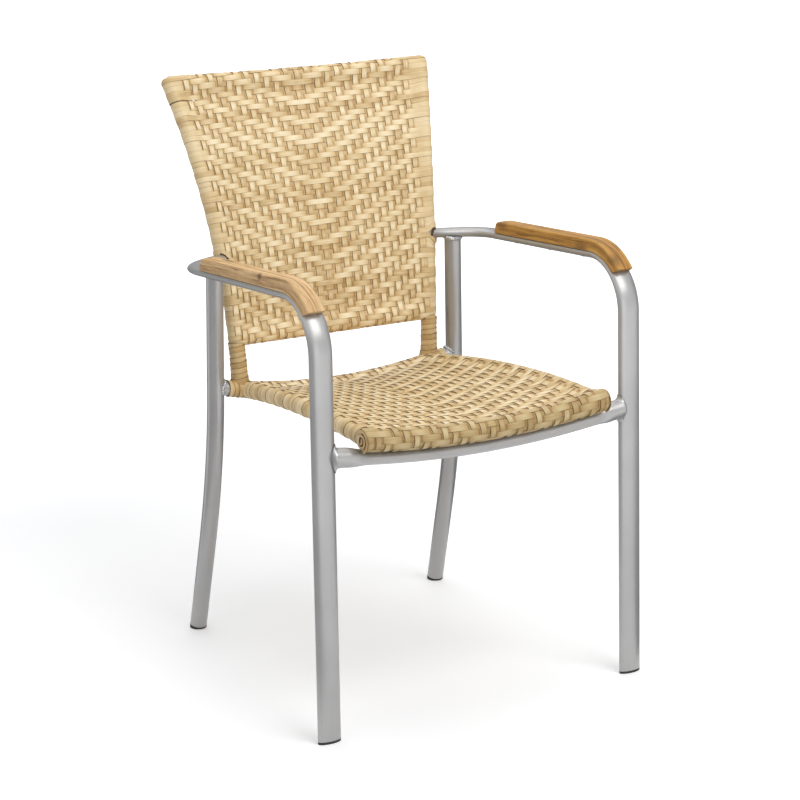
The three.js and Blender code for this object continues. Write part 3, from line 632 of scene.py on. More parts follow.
def sheetPoint(w, p, q, folded):
    # The middle layer of the weave at p across and q along. Between the tubes it is a sheet that
    # rises to each tube. Past a tube's middle it runs round the tube and back behind the sheet.
    # A folded strip runs straight on past the side tube and turns in over the end of the roll.
    inside = np.clip(q, 0, w["length"])
    edge = [np.interp(inside, w["q"], w["edge"][:, i]) for i in range(3)]
    aheadY, aheadZ = (np.interp(inside, w["q"], w["ahead"][:, i]) for i in (1, 2))
    ahead, facing = point(0, aheadY, aheadZ), point(0, aheadZ, -aheadY)
    side, out = np.where(p < 0, -1, 1), abs(p)
    over = np.where(folded, -1.0, out - edge[0])
    turn = np.clip(over / w["sideRadius"], 0, pi)
    back = np.clip(over - pi * w["sideRadius"], 0, None)
    x = np.where(over < 0, out, edge[0] - back)
    foldAt = w["foldX"] - w["foldRadius"]
    beyond = np.where(folded, np.clip(out - foldAt, 0, None), 0)
    quarter = np.clip(beyond / w["foldRadius"], 0, pi / 2)
    x = np.where(folded, np.minimum(out, foldAt) + w["foldRadius"] * np.sin(quarter), x)
    pastEnd, pastStart = q - w["length"], -q
    roll = np.clip(pastEnd / w["endRadius"], 0, pi) - np.clip(pastStart / w["startRadius"], 0, pi)
    tuck = (np.clip(pastEnd - pi * w["endRadius"], 0, None)
            - np.clip(pastStart - pi * w["startRadius"], 0, None))
    nearSide = np.where(folded, 0.0, smooth(1 + over / w["run"]))
    nearEnd = smooth(1 - np.minimum(inside, w["length"] - inside) / w["run"])
    endRadius = np.where(q < w["length"] / 2, w["startRadius"], w["endRadius"])
    rise = w["sheetRise"]
    endRadius = endRadius + np.where(q > w["length"] / 2, mix(*w["swell"], (x / edge[0]) ** 2), 0)
    reach = rise + (w["sideRadius"] - rise) * nearSide * (1 - nearEnd) + (endRadius - rise) * nearEnd
    behind = smooth(np.maximum(back, abs(tuck)) / w["tuckRun"])
    reach = mix(reach, -w["behind"], behind)
    foldLength = w["foldRadius"] * pi / 2
    reach = reach - w["foldRadius"] * (1 - np.cos(quarter)) - np.clip(beyond - foldLength, 0, None)
    sag = np.interp(inside, w["q"], w["sag"]) * (1 - (x / edge[0]) ** 2)
    base = point(side * x, edge[1], edge[2]) - sag[..., None] * w["sagDirection"] - ahead * tuck[..., None]
    cosTurn, sinTurn, cosRoll, sinRoll = np.cos(turn), np.sin(turn), np.cos(roll), np.sin(roll)
    normal = facing * (cosTurn * cosRoll)[..., None] + ahead * sinRoll[..., None]
    normal = normal + point(side * sinTurn * cosRoll, 0, 0)
    return base + normal * reach[..., None]


def lifted(w, p, q, height, folded=False):
    # the point that stands at a height over the middle layer, along its true normal
    step = 0.4  # millimetres to each side, for the slopes
    alongP = sheetPoint(w, p + step, q, folded) - sheetPoint(w, p - step, q, folded)
    alongQ = sheetPoint(w, p, q + step, folded) - sheetPoint(w, p, q - step, folded)
    return sheetPoint(w, p, q, folded) + unit(np.cross(alongQ, alongP)) * height[..., None]


def stripSection(width, thickness, sideShade=(1.0, 0.6)):
    # a flat strip with a slightly raised middle: offsets across it, over it, and how much painted shade
    # its first and its last side get; its underside gets painted shade too
    top = np.array([-1, -0.93, -0.8, -0.45, 0, 0.45, 0.85, 0.95, 1])
    under = np.array([0.9, 0, -0.9])
    across = np.concatenate([top, under])
    crown = np.where(abs(top) < 1, 0.5 - strip["camber"] * top ** 2, 0)
    over = np.concatenate([crown, np.full(3, -0.45)])
    first, last = sideShade
    edge = np.array([first, first, 0, 0, 0, 0, 0, last, last, 0.5, 0.5, 0.5])
    return across * width / 2, over * thickness, edge


def wavering(count, along):
    # two slow sine waves per strip, so that no strip is quite straight
    phase = rng.random((2, count, 1)) * 2 * pi
    stretch = rng.uniform(*strip["waverSpread"], (2, count, 1))
    waves = np.sin(2 * pi * along[None] * stretch / strip["waverLength"] + phase)
    return waves.sum(axis=0) * strip["waver"] / 2


def longPlace(w, j, q):
    # how far out strip j lies: the pitch narrows outwards, and the strips fan out with the sheet
    share = np.clip(q / w["length"], 0, 1)
    edgeX = np.interp(np.clip(q, 0, w["length"]), w["q"], w["edge"][:, 0])
    pitch, narrowing = (mix(w[k][0], w[k][1], share) for k in ("pitch", "narrowing"))
    return edgeX * (pitch * j - narrowing * j ** 2)


def rowSag(w, p):
    # the rows hang a little lower towards the sides
    share = p / w["edge"][:, 0].max()
    return np.where(p < 0, w["droop"][0], w["droop"][1]) * share ** 2


def marked(shape, **values):
    return {label: np.broadcast_to(value, shape) for label, value in values.items()}


def stripMarks(w, q, crest, edge):
    # crest: 1 in the middle of a stretch on top, 0 where the strip turns down, -1 underneath; the cane
    # paints a highlight by it on top, and shade where the strip turns down and where it lies underneath
    tone = rng.random((len(q), 1, 1))
    # painted shade that grows over the front of the seat's roll
    worn = w["wornFront"] * smooth((q - w["length"] + strip["wornLead"]) / strip["wornOver"])
    return marked(q.shape, crest=crest[..., None], tone=tone, edge=edge, worn=worn)


def acrossStrips(w, rows, folded, name, node):
    # One strip for each row, sampled more closely towards its ends. Its level is the wave at the
    # long strips that it crosses, and it lies flat where it wraps the side tubes.
    last = strip["longCount"]
    centre = w["firstRow"] + w["rowPitch"] * rows
    edgeX = np.interp(np.clip(centre, 0, w["length"]), w["q"], w["edge"][:, 0])
    wrap = pi * w["sideRadius"] + w["tuckLength"]
    end = np.where(folded, w["foldX"] + w["foldIn"], edgeX + wrap)
    lean = np.clip(-centre / w["startRadius"], 0, None)
    if not w["foldX"]:
        lean = lean + np.clip((centre - w["length"]) / w["endRadius"], 0, None)
    end = np.where(lean > w["openCorner"], edgeX + w["cornerReach"], end)
    edgeX = edgeX[:, None]
    u = steps(w["acrossSamples"] - 1, -1, 1)
    p = end[:, None] * np.sign(u) * (1 - (1 - abs(u)) ** strip["crowding"])
    across, over, edge = stripSection(w["rowPitch"] + strip["overlap"], strip["thickness"],
                                      strip["acrossEdges"])
    numbers = np.arange(last + 2)
    j = np.array([np.interp(abs(at - w["middleX"]), places, numbers)
                  for at, places in zip(p, longPlace(w, numbers, centre[:, None]))])
    wave = woveWave(np.clip(np.sqrt(j ** 2 + strip["middleEase"]), 0, last), rows[:, None])
    wrapped = smooth((j - last) / strip["wrapEase"])
    level = squared(wave) * mix(1, w["edgeRelief"], wrapped)
    q = centre[:, None] + rowSag(w, p) + np.concatenate([wavering(1, at) for at in p])
    height = np.zeros_like(q)
    if w["gap"]:  # two neighbouring rows stand apart on the left side
        b = w["gap"]
        apart = smooth((-p - edgeX + b["inside"]) / b["ease"])
        q = q + ((rows == b["row"]) * b["down"] - (rows == b["row"] - 1) * b["up"])[:, None] * apart
    if w["parting"]:
        # rows give way up and down where the arm's tube comes in, and the nearest ride highest
        b = w["parting"]
        away, past = (centre - b["at"])[:, None], abs(p) - edgeX
        window = smooth((past + b["before"]) / b["opening"]) * smooth((b["until"] - past) / b["closing"])
        q = q + np.where(away < 0, -1, 1) * b["push"] * np.exp(-abs(away) / b["reach"]) * window
        height = b["rise"] * np.exp(-abs(away) / b["riseReach"]) * window
    qq = q[..., None] + across
    pp = np.broadcast_to(p[..., None], qq.shape)
    height = (height + level * strip["relief"])[..., None] + over
    grids = lifted(w, pp, qq, height, folded[:, None, None])
    marks = stripMarks(w, qq, mix(wave, strip["wrapCrest"], wrapped), edge)
    half = len(rows) // 2
    for part, chosen in (("first", slice(half)), ("last", slice(half, None))):
        partMarks = {label: values[chosen] for label, values in marks.items()}
        skinned(f"{name}_{part}", grids[chosen], cane, [node], partMarks)


def longStrips(w, rows, name, node):
    # One strip for each number, from behind one cross tube to behind the other. Its level is the
    # wave at the rows that it crosses, and it lies flat past the first and the last row.
    last = strip["longCount"]
    j = np.arange(-last, last + 1)[:, None]
    start = -(pi * w["startRadius"] + w["tuckLength"])
    end = w["length"] + pi * w["endRadius"] + w["tuckLength"]
    q = np.broadcast_to(steps(w["longSamples"] - 1, start, end), (len(j), w["longSamples"]))
    p = longPlace(w, abs(j), q) * np.sign(j) + w["middleX"] + wavering(len(j), q[0])
    across, over, edge = stripSection(strip["longWidth"], strip["thickness"])
    k = (q - rowSag(w, p) - w["firstRow"]) / w["rowPitch"]
    woven = smooth(k - rows[0] + 1) * smooth(rows[-1] + 1 - k)
    wave = -woveWave(abs(j), k)
    widths = 1 + rng.uniform(-strip["widthSpread"], strip["widthSpread"], (len(j), 1, 1))
    pp = p[..., None] + across * widths
    qq = np.broadcast_to(q[..., None], pp.shape)
    height = (squared(wave) * woven)[..., None] * strip["relief"] + over
    marks = stripMarks(w, qq, mix(strip["wrapCrest"], wave, woven), edge)
    skinned(name, lifted(w, pp, qq, height), cane, [node], marks)


# what the two panels share, and the seat's rows, counted so that one lies on the front tube
panel = {"run": 24, "tuckRun": 22, "tuckLength": 25, "longSamples": 300, "gap": None, "parting": None}
seatRows = {"pitch": 8.35, "onTube": 48, "pastTube": 2.1, "longPitch": 15.5}


def backWeave():
    # the middle layer hangs between the uprights and bows backwards towards the top rail
    curve = edgeCurve(postPath(steps(200, bottomShare, 1)[::-1]))
    height = 1 - curve["q"] / curve["length"]
    enters = np.interp(-sidePath(1)["joint"][2], -curve["edge"][:, 2], curve["q"])
    w = {
        **panel, **curve, "sag": backRails["bow"] * height, "sagDirection": backFacing,
        "sideRadius": 11.4, "startRadius": 11.4, "endRadius": 11.4, "sheetRise": 3.6,
        "behind": 1.2, "foldX": 0, "foldRadius": 1, "foldIn": 0, "swell": (0, 0),
        "rowPitch": 7.8, "firstRow": 44.7, "droop": (5.5, 1.5), "middleX": -4.6,
        "pitch": (0.0835, 0.1012), "narrowing": (0.00087, 0.00162), "edgeRelief": 0.4,
        "openCorner": 1.0, "cornerReach": 6, "acrossSamples": 200, "wornFront": 0,
        "gap": {"row": -2, "down": 1.0, "up": 0.5, "inside": 46, "ease": 16},
        "parting": {"at": enters, "push": 10, "reach": 14, "rise": 2.8, "riseReach": 9, "before": 5,
                    "opening": 9, "until": 40, "closing": 10},
    }
    rows = np.arange(-11, 52)
    acrossStrips(w, rows, np.zeros(len(rows), bool), "back_across_strips", "back_weave")
    longStrips(w, rows, "back_long_strips", "back_weave")


backWeave()
print("back weave")


def seatWeave():
    # the middle layer dips between the side rails as the rear and the front tube do, and its first
    # rows from the front turn in over the ends of the roll
    curve = edgeCurve(seatRailPath(steps(200)))
    edgeX, share = curve["edge"][:, 0], curve["q"] / curve["length"]
    dip = mix(rearTubeZ(edgeX) - rearTubeZ(0), frontTubeZ(edgeX) - frontTubeZ(0), share)
    rowPitch, pitch = seatRows["pitch"], seatRows["longPitch"] / seatRail["frontX"]
    firstRow = curve["length"] + seatRows["pastTube"] - rowPitch * seatRows["onTube"]
    w = {
        **panel, **curve, "sag": dip, "sagDirection": zAxis,
        "sideRadius": 12.4, "startRadius": 12.4, "endRadius": 13.9, "sheetRise": 5,
        "behind": 2.2, "foldX": 200, "foldRadius": 2.2, "foldIn": 5, "swell": (1.0, 2.0),
        "rowPitch": rowPitch, "firstRow": firstRow, "droop": (0, 0), "middleX": 1.5,
        "pitch": (pitch, pitch), "narrowing": (0, 0), "edgeRelief": 0.5,
        "openCorner": 0.3, "cornerReach": -4, "acrossSamples": 160, "wornFront": 1,
    }
    rows = np.arange(-7, 54)
    folded = firstRow + rowPitch * rows > w["length"] - rowPitch / 2
    acrossStrips(w, rows, folded, "seat_across_strips", "seat_weave")
    longStrips(w, rows, "seat_long_strips", "seat_weave")


seatWeave()
print("seat weave")


# Wound strips: a strip laid round a tube in a screw line, on the feet of the back's uprights and
# on the ends of the rear seat tube

winding = {"pitch": 8.2, "lap": -0.3, "perTurn": 40, "thickness": 1.3, "outer": 12.6, "edges": (0.2, 0.9),
           "tilt": 0.12, "waver": 0.25, "waverRate": 1.7, "crest": 0.13, "toneSpread": 0.4, "toneRate": 2.3,
           "skinTop": 468, "flare": 7, "flareReach": 9, "stubFrom": 160, "stubTo": 193.6}


def wound(path, across, flare=0):
    # centre + radius * (across cos + over sin), moving one pitch along the path for each turn
    b = winding
    along = lengthAlong(path)
    turns = along[-1] / b["pitch"]
    t = steps(int(turns * b["perTurn"]), 0, turns)

    def taken(values, at):
        return np.stack([np.interp(at, along, values[:, i]) for i in range(3)], axis=-1)

    offset, over, edge = stripSection(b["pitch"] - b["lap"], b["thickness"], b["edges"])
    s = (t * b["pitch"])[:, None] + offset
    direction = unit(taken(tangents(path), t * b["pitch"]))
    up = unit(np.cross(direction, across))
    t = t[:, None]
    radial = np.cross(up, direction) * np.cos(2 * pi * t) + up * np.sin(2 * pi * t)
    # the tilt lays each turn a little over the one before
    radius = b["outer"] - b["thickness"] / 2 + over + b["tilt"] * offset
    radius = radius + b["waver"] * np.sin(b["waverRate"] * t) + flare * np.exp(-s / b["flareReach"])
    tone = 0.5 + b["toneSpread"] * np.sin(t * b["toneRate"])
    grid = taken(path, s) + radial[:, None] * radius[..., None]
    return grid, marked(s.shape, crest=b["crest"], tone=tone, edge=edge)


def woundStrips():
    b = winding
    for hand, side in hands.items():
        foot = postPath(steps(60, 0, postShareAt(b["skinTop"])), side)
        x = steps(12, b["stubFrom"], b["stubTo"])
        stub = point(side * x, rearSeatTube["y"], rearTubeZ(x))
        for place, path, across, flare in (("upright", foot, xAxis, b["flare"]), ("stub", stub, yAxis, 0)):
            grid, marks = wound(path, across, flare)
            skinned(f"{hand}_{place}_strip", [grid], cane, [f"{hand}_{place}_wrap"], marks)


woundStrips()

shadeSleeve = {"diameter": 20.9, "halfAtArm": 24, "topZ": 818, "halfAtTop": 12}


def shadeSleeves():
    # thin dark sleeves round the uprights, painted shade seen only through the gaps: beside each arm's
    # tube, and under the two parted rows near the top
    b = shadeSleeve
    for hand, side in hands.items():
        for place, middle, half in (("arm", sidePath(side)["joint"][2], b["halfAtArm"]),
                                    ("top", b["topZ"], b["halfAtTop"])):
            path = postPath(steps(24, postShareAt(middle - half), postShareAt(middle + half)), side)
            grid = carried(path, xAxis, ringOf(b["diameter"], b["diameter"]))
            skinned(f"{hand}_{place}_shade_sleeve", [grid], paintedShadeCane, ["back_weave"])


shadeSleeves()


# Ends of the roll: strips turned in over the tube's end like a snail

snail = {"outerRadius": 18.4, "width": 4.3, "pitch": 6.1, "turns": 2.45, "x": 201, "startAngle": -75,
         "bulge": 1.8, "lower": 0.8, "crest": 0.1, "tone": 0.5,
         "insideX": 199.4, "inside": ((0.4, 0), (8, 0), (14.6, 0), (15.6, 0.8), (15.6, 4), (0.4, 4))}


def rollEnds():
    # Spiral in the plane of the end: radius falls by one pitch for each turn. Behind it a turned
    # disc, whose profile gives radius and depth, dark brown as painted shade inside the end
    b = snail
    endZ = frontTubeZ(b["x"])
    radii, depths = np.array(b["inside"]).T[..., None]
    around = circle(40)
    for hand, side in hands.items():
        t = steps(110, 0, b["turns"])[:, None]
        offset, over, edge = stripSection(b["width"], strip["thickness"])
        radius = b["outerRadius"] - b["width"] / 2 - b["pitch"] * t - offset
        angle = radians(b["startAngle"]) + 2 * pi * t
        x = b["x"] + over + b["bulge"] * (1 - (radius / b["outerRadius"]) ** 2)
        grid = point(side * x, frontTubeY - np.cos(angle) * radius,
                     endZ - b["lower"] + np.sin(angle) * radius)
        marks = marked(radius.shape, crest=b["crest"], tone=b["tone"], edge=edge)
        skinned(hand + "_roll_end_strip", [grid], cane, ["seat_weave"], marks)
        grid = point(side * (b["insideX"] - depths), frontTubeY + radii * np.cos(around),
                     endZ + radii * np.sin(around))
        skinned(hand + "_roll_end_shade_disc", [grid], paintedShadeCane, ["seat_weave"])


rollEnds()
print("wound strips and roll ends")


# Arm caps: teak over the oval tube, from inside the bend to the rear end of the straight arm

armCap = {"width": 33, "topWidth": 27.5, "height": 22.5, "skirt": 5, "corner": 3.2, "frontShare": 0.5,
          "frontHeight": 18, "frontReach": 2.5, "frontSlant": 0.4, "rearY": 110, "rearHeight": 19,
          "rounding": 8, "crown": 0.6, "gap": 0.3}


def capRing(height):
    # underside that follows the oval, sides that lean in, two rounded corners and a crowned top
    b = armCap
    half, topHalf, corner = b["width"] / 2, b["topWidth"] / 2, b["corner"]
    x = steps(24, -half, half)
    oval = (sideTube["thickness"] / 2 + b["gap"]) * np.sqrt(1 - (x / (sideTube["width"] / 2 + b["gap"])) ** 2)
    under = np.stack([x, np.maximum(oval, b["skirt"] * abs(x) / half)], axis=-1)
    angle = steps(8, 0, pi / 2)
    right = np.stack([topHalf - corner * (1 - np.cos(angle)), height - corner * (1 - np.sin(angle))], axis=-1)
    top = steps(6, topHalf - corner, corner - topHalf)[1:-1]
    flat = np.stack([top, np.full(len(top), height)], axis=-1)
    left = right[::-1] * np.array([-1, 1])
    ring = np.concatenate([under, right, flat, left])
    crown = b["crown"] * (ring[:, 0] / topHalf) ** 2 * (ring[:, 1] > height - corner / 2)
    return ring - np.stack([crown * 0, crown], axis=-1)


def armCaps():
    # the ring carried along the arm, lower towards both ends, its rear end rounded by a quarter circle
    b = armCap
    for hand, side in hands.items():
        parts = sidePath(side)
        front = parts["front"]
        turned = front[int(round((len(front) - 1) * b["frontShare"])):]
        end = np.array([side * parts["armX"], b["rearY"], armZ(b["rearY"])])
        rounding = steps(12) * pi / 2
        tail = end + armDirection * (b["rounding"] * (np.sin(rounding) - 1))[:, None]
        arm = mix(turned[-1], tail[0], steps(30)[1:-1, None])
        path = np.concatenate([turned, arm, tail])
        heights = np.concatenate([mix(b["frontHeight"], b["height"], steps(len(turned) - 1)),
                                  np.full(len(arm), b["height"]),
                                  b["height"] - (b["height"] - b["rearHeight"]) * (1 - np.cos(rounding))])
        rings = np.stack([capRing(h) for h in heights])
        tangent = tangents(path)
        over = unit(np.cross(tangent, -xAxis))
        grid = path[:, None] - rings[..., :1] * xAxis + rings[..., 1:] * over[:, None]
        # the first ring slides down the tube, further at the top
        slide = b["frontReach"] + b["frontSlant"] * (rings[0, :, 1:] - sideTube["thickness"] / 2)
        grid[0] -= tangent[0] * slide
        skinned(hand + "_arm_cap_teak", [grid], oiledTeak(side > 0), [hand + "_arm_cap"], crease=28)


armCaps()
print("arm caps")


# Glides: a plug in the tube's end and a foot that is flat on the floor

glide = {"rim": 1.2, "lip": 0.5, "plugInset": 3, "plugDepth": 4, "hollow": 4}


def glideFoot(node, foot, direction, width, thickness):
    # ellipses across the leg's direction, and those of the foot are slid along it into level planes
    b = glide
    across = unit(xAxis - direction * direction[0])
    over = np.cross(direction, across)
    ring = ringOf(1, 1, 48)

    def level(inset, distance):
        rim = ring[:, :1] * across * (width - 2 * inset) + ring[:, 1:] * over * (thickness - 2 * inset)
        return foot + direction * distance + rim

    def flat(points, z):
        return points + direction * ((z - points[:, 2]) / direction[2])[:, None]

    end = tubeStart(direction, thickness)
    base = [flat(level(b["rim"] * (1 - np.sin(a)), 0), b["rim"] * (1 - np.cos(a)))
            for a in steps(5, 0, pi / 2)]
    top = [level(0, end - b["lip"]), level(b["lip"], end), level(b["plugInset"], end + b["plugDepth"])]
    grid = np.stack([flat(level(b["hollow"], 0), 0)] + base + top)
    skinned(node + "_smooth", [grid], glideBlack, [node])


for hand, side in hands.items():
    for place, leg, direction, width, thickness in (
            ("front", sideTube, legDirection(side), sideTube["width"], sideTube["thickness"]),
            ("rear", rearLeg, rearLegDirection(side), rearLeg["diameter"], rearLeg["diameter"])):
        foot = np.array([side * leg["footX"], leg["footY"], 0])
        glideFoot(f"{hand}_{place}_glide", foot, direction, width, thickness)


# Weld beads: a rippled ring that follows the line where one tube meets another

# reach is how near the host's edge, as a share, the bead still follows its surface
bead = {"ripples": 22, "ripple": 0.7, "unevenness": 0.9, "waves": (2, 3, 5, 11), "reach": 0.985,
        "rearTube": 2.0, "underArm": 2.3, "back": 1.5, "backWider": 2, "backDeeper": 6}


def weldBead(bulk, centre, direction, hostAxis, hostReach, hostDepth, width, thickness):
    # The tube's ellipse, pushed along its direction to the surface of the host's ellipse, is the
    # path of a round bead whose size ripples along it.
    direction, hostAxis = unit(np.array(direction)), unit(hostAxis)
    aside = unit(np.cross(direction, hostAxis))
    up = np.cross(aside, direction)
    angle = steps(240, 0, 2 * pi)[:-1]
    offUp, offAside = np.cos(angle) * width / 2, np.sin(angle) * thickness / 2
    inside = np.clip(offAside / (hostDepth / 2), -bead["reach"], bead["reach"])
    distance = hostReach / 2 * np.sqrt(1 - inside ** 2)
    path = centre + up * offUp[:, None] + aside * offAside[:, None] + direction * distance[:, None]
    tangent = unit(np.roll(path, -1, axis=0) - np.roll(path, 1, axis=0))
    outward = unit(up * (offUp / width)[:, None] + aside * (offAside / thickness)[:, None])
    over = unit(np.cross(tangent, outward))
    slow = sum(np.sin(n * angle + rng.random() * 2 * pi) for n in bead["waves"]) / 3
    size = bulk + bead["ripple"] * abs(np.sin(angle * bead["ripples"] / 2)) + bead["unevenness"] * slow
    cos, sin = (f(circle(12))[:, None] for f in (np.cos, np.sin))
    grid = path[:, None] + size[:, None, None] * (cos * outward[:, None] + sin * over[:, None])
    return np.concatenate([grid, grid[:1]])


# sunk, underSkin, lap and coreBack hide the collar's rims inside the tubes
collar = {"size": 7, "onFace": 10, "depth": 6.2, "core": 0.6, "sunk": 0.6, "underSkin": 0.998,
          "lap": 1, "coreBack": 2}


def railFlare(side):
    # Round the rail's end, a concave curve runs from the leg's surface to the rail's surface. The
    # line where the two would meet is further along the rail above and below than at the sides.
    b = collar
    centre = np.array([side * railHalf, railY, railShape(railHalf)[0]])
    direction, up = np.array([-side, 0, -2 * frontRail["rise"] / railHalf]), legDirection(side)
    angle = steps(96, 0, 2 * pi)[:, None]
    radius, narrow = frontRail["diameter"] / 2, sideTube["width"] / 2
    offUp, offAside = radius * np.cos(angle), radius * np.sin(angle)
    distance = narrow - (narrow - b["onFace"]) * np.sin(angle) ** 2
    depth = np.clip((radius + b["size"]) * np.sin(angle), -b["depth"], b["depth"])

    def place(rise, aside, away):
        return centre + rise[..., None] * up + aside[..., None] * yAxis + away[..., None] * direction

    onLeg = place(offUp * (1 + b["size"] / radius), depth, distance - b["sunk"])
    meet = place(offUp, offAside, distance)
    onRail = place(offUp * b["underSkin"], offAside * b["underSkin"], distance + b["size"] + b["lap"])
    t = steps(10)[None, :, None]
    curve = (1 - t) ** 2 * onLeg + 2 * t * (1 - t) * meet + t ** 2 * onRail
    inside = place(offUp * b["core"], offAside * b["core"], distance + b["size"])
    core = place(offUp * b["core"], depth * b["core"], distance - b["coreBack"])
    return np.concatenate([curve, inside, core], axis=1)


def beadsOf(side):
    # size of the bead, where the middle lines meet, direction of the tube, the host's axis, the
    # host's two sizes and the tube's
    half, post, leg = rearSeatTube["half"], backPost["diameter"], rearLeg["diameter"]
    joint = (side * half, rearSeatTube["y"], rearTubeZ(half))
    yield "rear_tube", weldBead(bead["rearTube"], joint, (-side, 0, -2 * rearSeatTube["rise"] / half), zAxis,
                                leg, leg, rearSeatTube["diameter"], rearSeatTube["diameter"])
    top = rearLegPath(side)[-1]
    yield "under_arm", weldBead(bead["underArm"], (top[0], top[1], armZ(top[1])), -zAxis, armDirection,
                                sideTube["thickness"], sideTube["width"], leg, leg)
    parts = sidePath(side)
    yield "back", weldBead(bead["back"], parts["joint"], parts["last"][-2] - parts["joint"], zAxis, post,
                           sideTube["endWidth"] + bead["backDeeper"], sideTube["thickness"],
                           sideTube["endWidth"] + bead["backWider"])


def weldBeads():
    made = []
    for hand, side in hands.items():
        skinned(hand + "_front_rail_flare", [railFlare(side)], aluminium, [hand + "_weld_front_rail"])
        made += [(hand, place, grid) for place, grid in beadsOf(side)]
    for hand, place, grid in made:
        # the bead where the arm's tube enters the back is dark brown, painted shade in the gap round the tube
        skinned(f"{hand}_{place}_bead", [grid], paintedShadeCane if place == "back" else weld,
                [f"{hand}_weld_{place}"], crease=80)


weldBeads()


# Screws under the arms, with a domed head and a hollow hexagon

capScrew = {"firstY": -110, "spacing": 90, "head": 8, "headHeight": 1.3, "shank": 4, "bite": 10, "key": 3,
            "keyLeft": 1, "keyRim": 0.5, "domeFrom": 0.3, "centre": 0.05, "point": 2, "tip": 0.3,
            "clearance": 0.3}


def capScrews():
    # profile of radius, height over the arm's middle and shape of the ring, turned about its axis
    b = capScrew
    seat = sideTube["thickness"] / 2 + b["clearance"]
    angle = circle(36)
    hexagon = np.cos(pi / 6) / np.cos((angle % (pi / 3)) - pi / 6)
    plain = np.ones_like(angle)
    head, key, shank = b["head"] / 2, b["key"] / 2, b["shank"] / 2
    low, end = -seat - b["headHeight"], seat + b["bite"]
    profile = [(b["centre"], -seat - b["keyLeft"], hexagon), (key, -seat - b["keyLeft"], hexagon),
               (key, low, hexagon), (key + b["keyRim"], low, plain)]
    profile += [(head * np.sin(a) ** 0.5, -seat - b["headHeight"] * np.cos(a), plain)
                for a in steps(6, b["domeFrom"], pi / 2)]
    profile += [(head, -seat, plain), (shank, -seat, plain), (shank, end - b["point"], plain),
                (b["tip"], end, plain)]
    spoke = np.cos(angle)[:, None] * xAxis + np.sin(angle)[:, None] * armDirection
    for hand, side in hands.items():
        armX = sidePath(side)["armX"]
        for i, place in enumerate(("front", "middle", "rear")):
            y = b["firstY"] + b["spacing"] * i
            centre = np.array([side * armX, y, armZ(y)])
            rings = [centre + armNormal * h + r * shape[:, None] * spoke for r, h, shape in profile]
            node = f"{hand}_cap_screw_{place}"
            skinned(node + "_turned", [np.stack(rings)], steel, [node], crease=30)


capScrews()

for hand in hands:
    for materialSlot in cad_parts[hand + "_seat_tab"].material_slots:
        materialSlot.material = aluminium
print("glides, welds and screws")


# Studio: plain pale floor, white surroundings, soft lamps

studio = {"floorHalf": 30, "floorColours": ((232, 232, 232), (236, 236, 236)), "floorGlow": 0.32,
          "farGlow": 1.0, "nearFloor": 0.9, "farFloor": 3.4, "around": 0.5,
          "aroundColour": (244, 246, 250), "aim": (0, 0, 0.45)}
lamps = {
    "key": {"at": (0.7, -2.5, 3.5), "power": 64, "size": 2.4},
    "low": {"at": (-0.2, -3.8, 0.9), "power": 8, "size": 1.6},
    "fill": {"at": (-3.4, -1.2, 1.6), "power": 12, "size": 2.4},
    "top": {"at": (0.3, 0.6, 3.6), "power": 34, "size": 2.4},
    "behind": {"at": (1.5, 3.2, 2.4), "power": 12, "size": 2.0},
}
# grey cards between two compass angles from +X, on the floor and standing, seen only in the metal
cards = [{"from": -44, "to": 126, "near": 0.45, "away": 1.9, "high": 0.05, "tone": (124, 124, 126)},
         {"from": -25, "to": 126, "near": 1.9, "away": 3.4, "high": 2.2, "tone": (158, 158, 160)},
         {"from": 150, "to": 252, "near": 0.6, "away": 3.4, "high": 2.2, "tone": (190, 190, 192)}]
cardLift = 0.003
shot = {"eye": (-1.8046, -3.08768, 1.4116), "azimuth": 30.613, "elevation": 15.917,
        "focalPixels": 2482.5, "imagePixels": 800, "sensor": 36}


def paleFloor():
    # glows for the rays that look at it, more with the distance, until it is white
    s = Shader("pale floor", {"Roughness": 0.9, "Specular IOR Level": 0.0, "Emission Color": (1, 1, 1, 1)})
    plain, bright = studio["floorColours"]
    colour = s.ramp(s.noise("Object", 1.5, detail=2), (0.3, plain), (0.7, bright))
    place = s.add("ShaderNodeTexCoord").outputs["Object"]
    away = s.add("ShaderNodeVectorMath", {0: place}, operation="LENGTH").outputs["Value"]
    glow = s.span(away, studio["nearFloor"], studio["farFloor"], studio["floorGlow"], studio["farGlow"])
    s.join({"Base Color": colour, "Emission Strength": s.maths("MULTIPLY", s.seenDirectly(), glow)})
    return s.block


def greyCard(tone):
    s = Shader("grey card", {"Emission Strength": 1.0, "Base Color": (0, 0, 0, 1), "Specular IOR Level": 0.0})
    darker = tuple(0.9 * c for c in tone)
    s.join({"Emission Color": s.ramp(s.noise("Object", 60, detail=2), (0.3, darker), (0.7, tone))})
    return s.block


def staged(name, points, faces, material):
    mesh = bpy.data.meshes.new(name)
    mesh.from_pydata(points, [], faces)
    mesh.materials.append(material)
    thing = placed(name, mesh)
    return thing


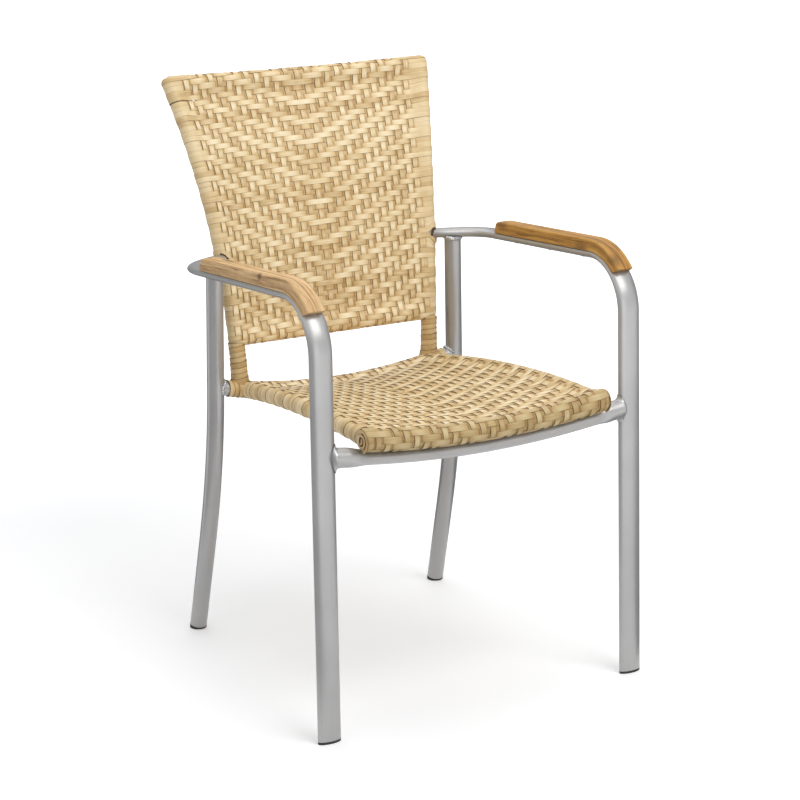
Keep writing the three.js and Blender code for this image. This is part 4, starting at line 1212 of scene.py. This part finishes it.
def setCards():
    # part of a ring on the floor, and a curved wall that stands on its far edge
    for i, b in enumerate(cards):
        angle = np.radians(steps(24, b["from"], b["to"]))
        spoke = point(np.cos(angle), np.sin(angle), 0)
        rows = [spoke * b["near"] + cardLift * zAxis, spoke * b["away"] + cardLift * zAxis,
                spoke * b["away"] + b["high"] * zAxis]
        index = np.arange(3 * len(angle)).reshape(3, -1)
        faces = np.stack([index[:-1, :-1], index[:-1, 1:], index[1:, 1:], index[1:, :-1]], axis=-1)
        card = staged(f"card_{i}", np.concatenate(rows).tolist(), faces.reshape(-1, 4).tolist(),
                      greyCard(b["tone"]))
        card.visible_camera = card.visible_diffuse = card.visible_shadow = card.visible_transmission = False


def setFloorAndWorld():
    half = studio["floorHalf"]
    corners = [(-half, -half, 0), (half, -half, 0), (half, half, 0), (-half, half, 0)]
    staged("floor", corners, [(0, 1, 2, 3)], paleFloor())
    s = Shader("studio", library="worlds", surface="Background")
    bpy.context.scene.world = s.block
    seen = s.seenDirectly()
    s.join({"Strength": s.span(seen, 0.0, 1.0, studio["around"], 1.0),
            "Color": s.blend("MIX", seen, studio["aroundColour"], (255, 255, 255))})


def aimed(name, data, at, ahead):
    thing = placed(name, data)
    thing.location = at
    thing.rotation_mode = "QUATERNION"
    thing.rotation_quaternion = ahead.to_track_quat("-Z", "Y")
    return thing


def setLamps():
    for name, b in lamps.items():
        light = bpy.data.lights.new(name, "AREA")
        light.energy, light.size = b["power"], b["size"]
        aimed(name, light, b["at"], Vector(studio["aim"]) - Vector(b["at"]))


def setCamera():
    a, e = radians(shot["azimuth"]), radians(shot["elevation"])
    data = bpy.data.cameras.new("camera")
    data.sensor_width = shot["sensor"]
    data.lens = shot["focalPixels"] / shot["imagePixels"] * shot["sensor"]
    ahead = Vector((np.sin(a) * np.cos(e), np.cos(a) * np.cos(e), -np.sin(e)))
    bpy.context.scene.camera = aimed("camera", data, shot["eye"], ahead)


setFloorAndWorld()
setLamps()
setCards()
setCamera()
bpy.context.scene.view_settings.view_transform = "Standard"
print("studio and camera")
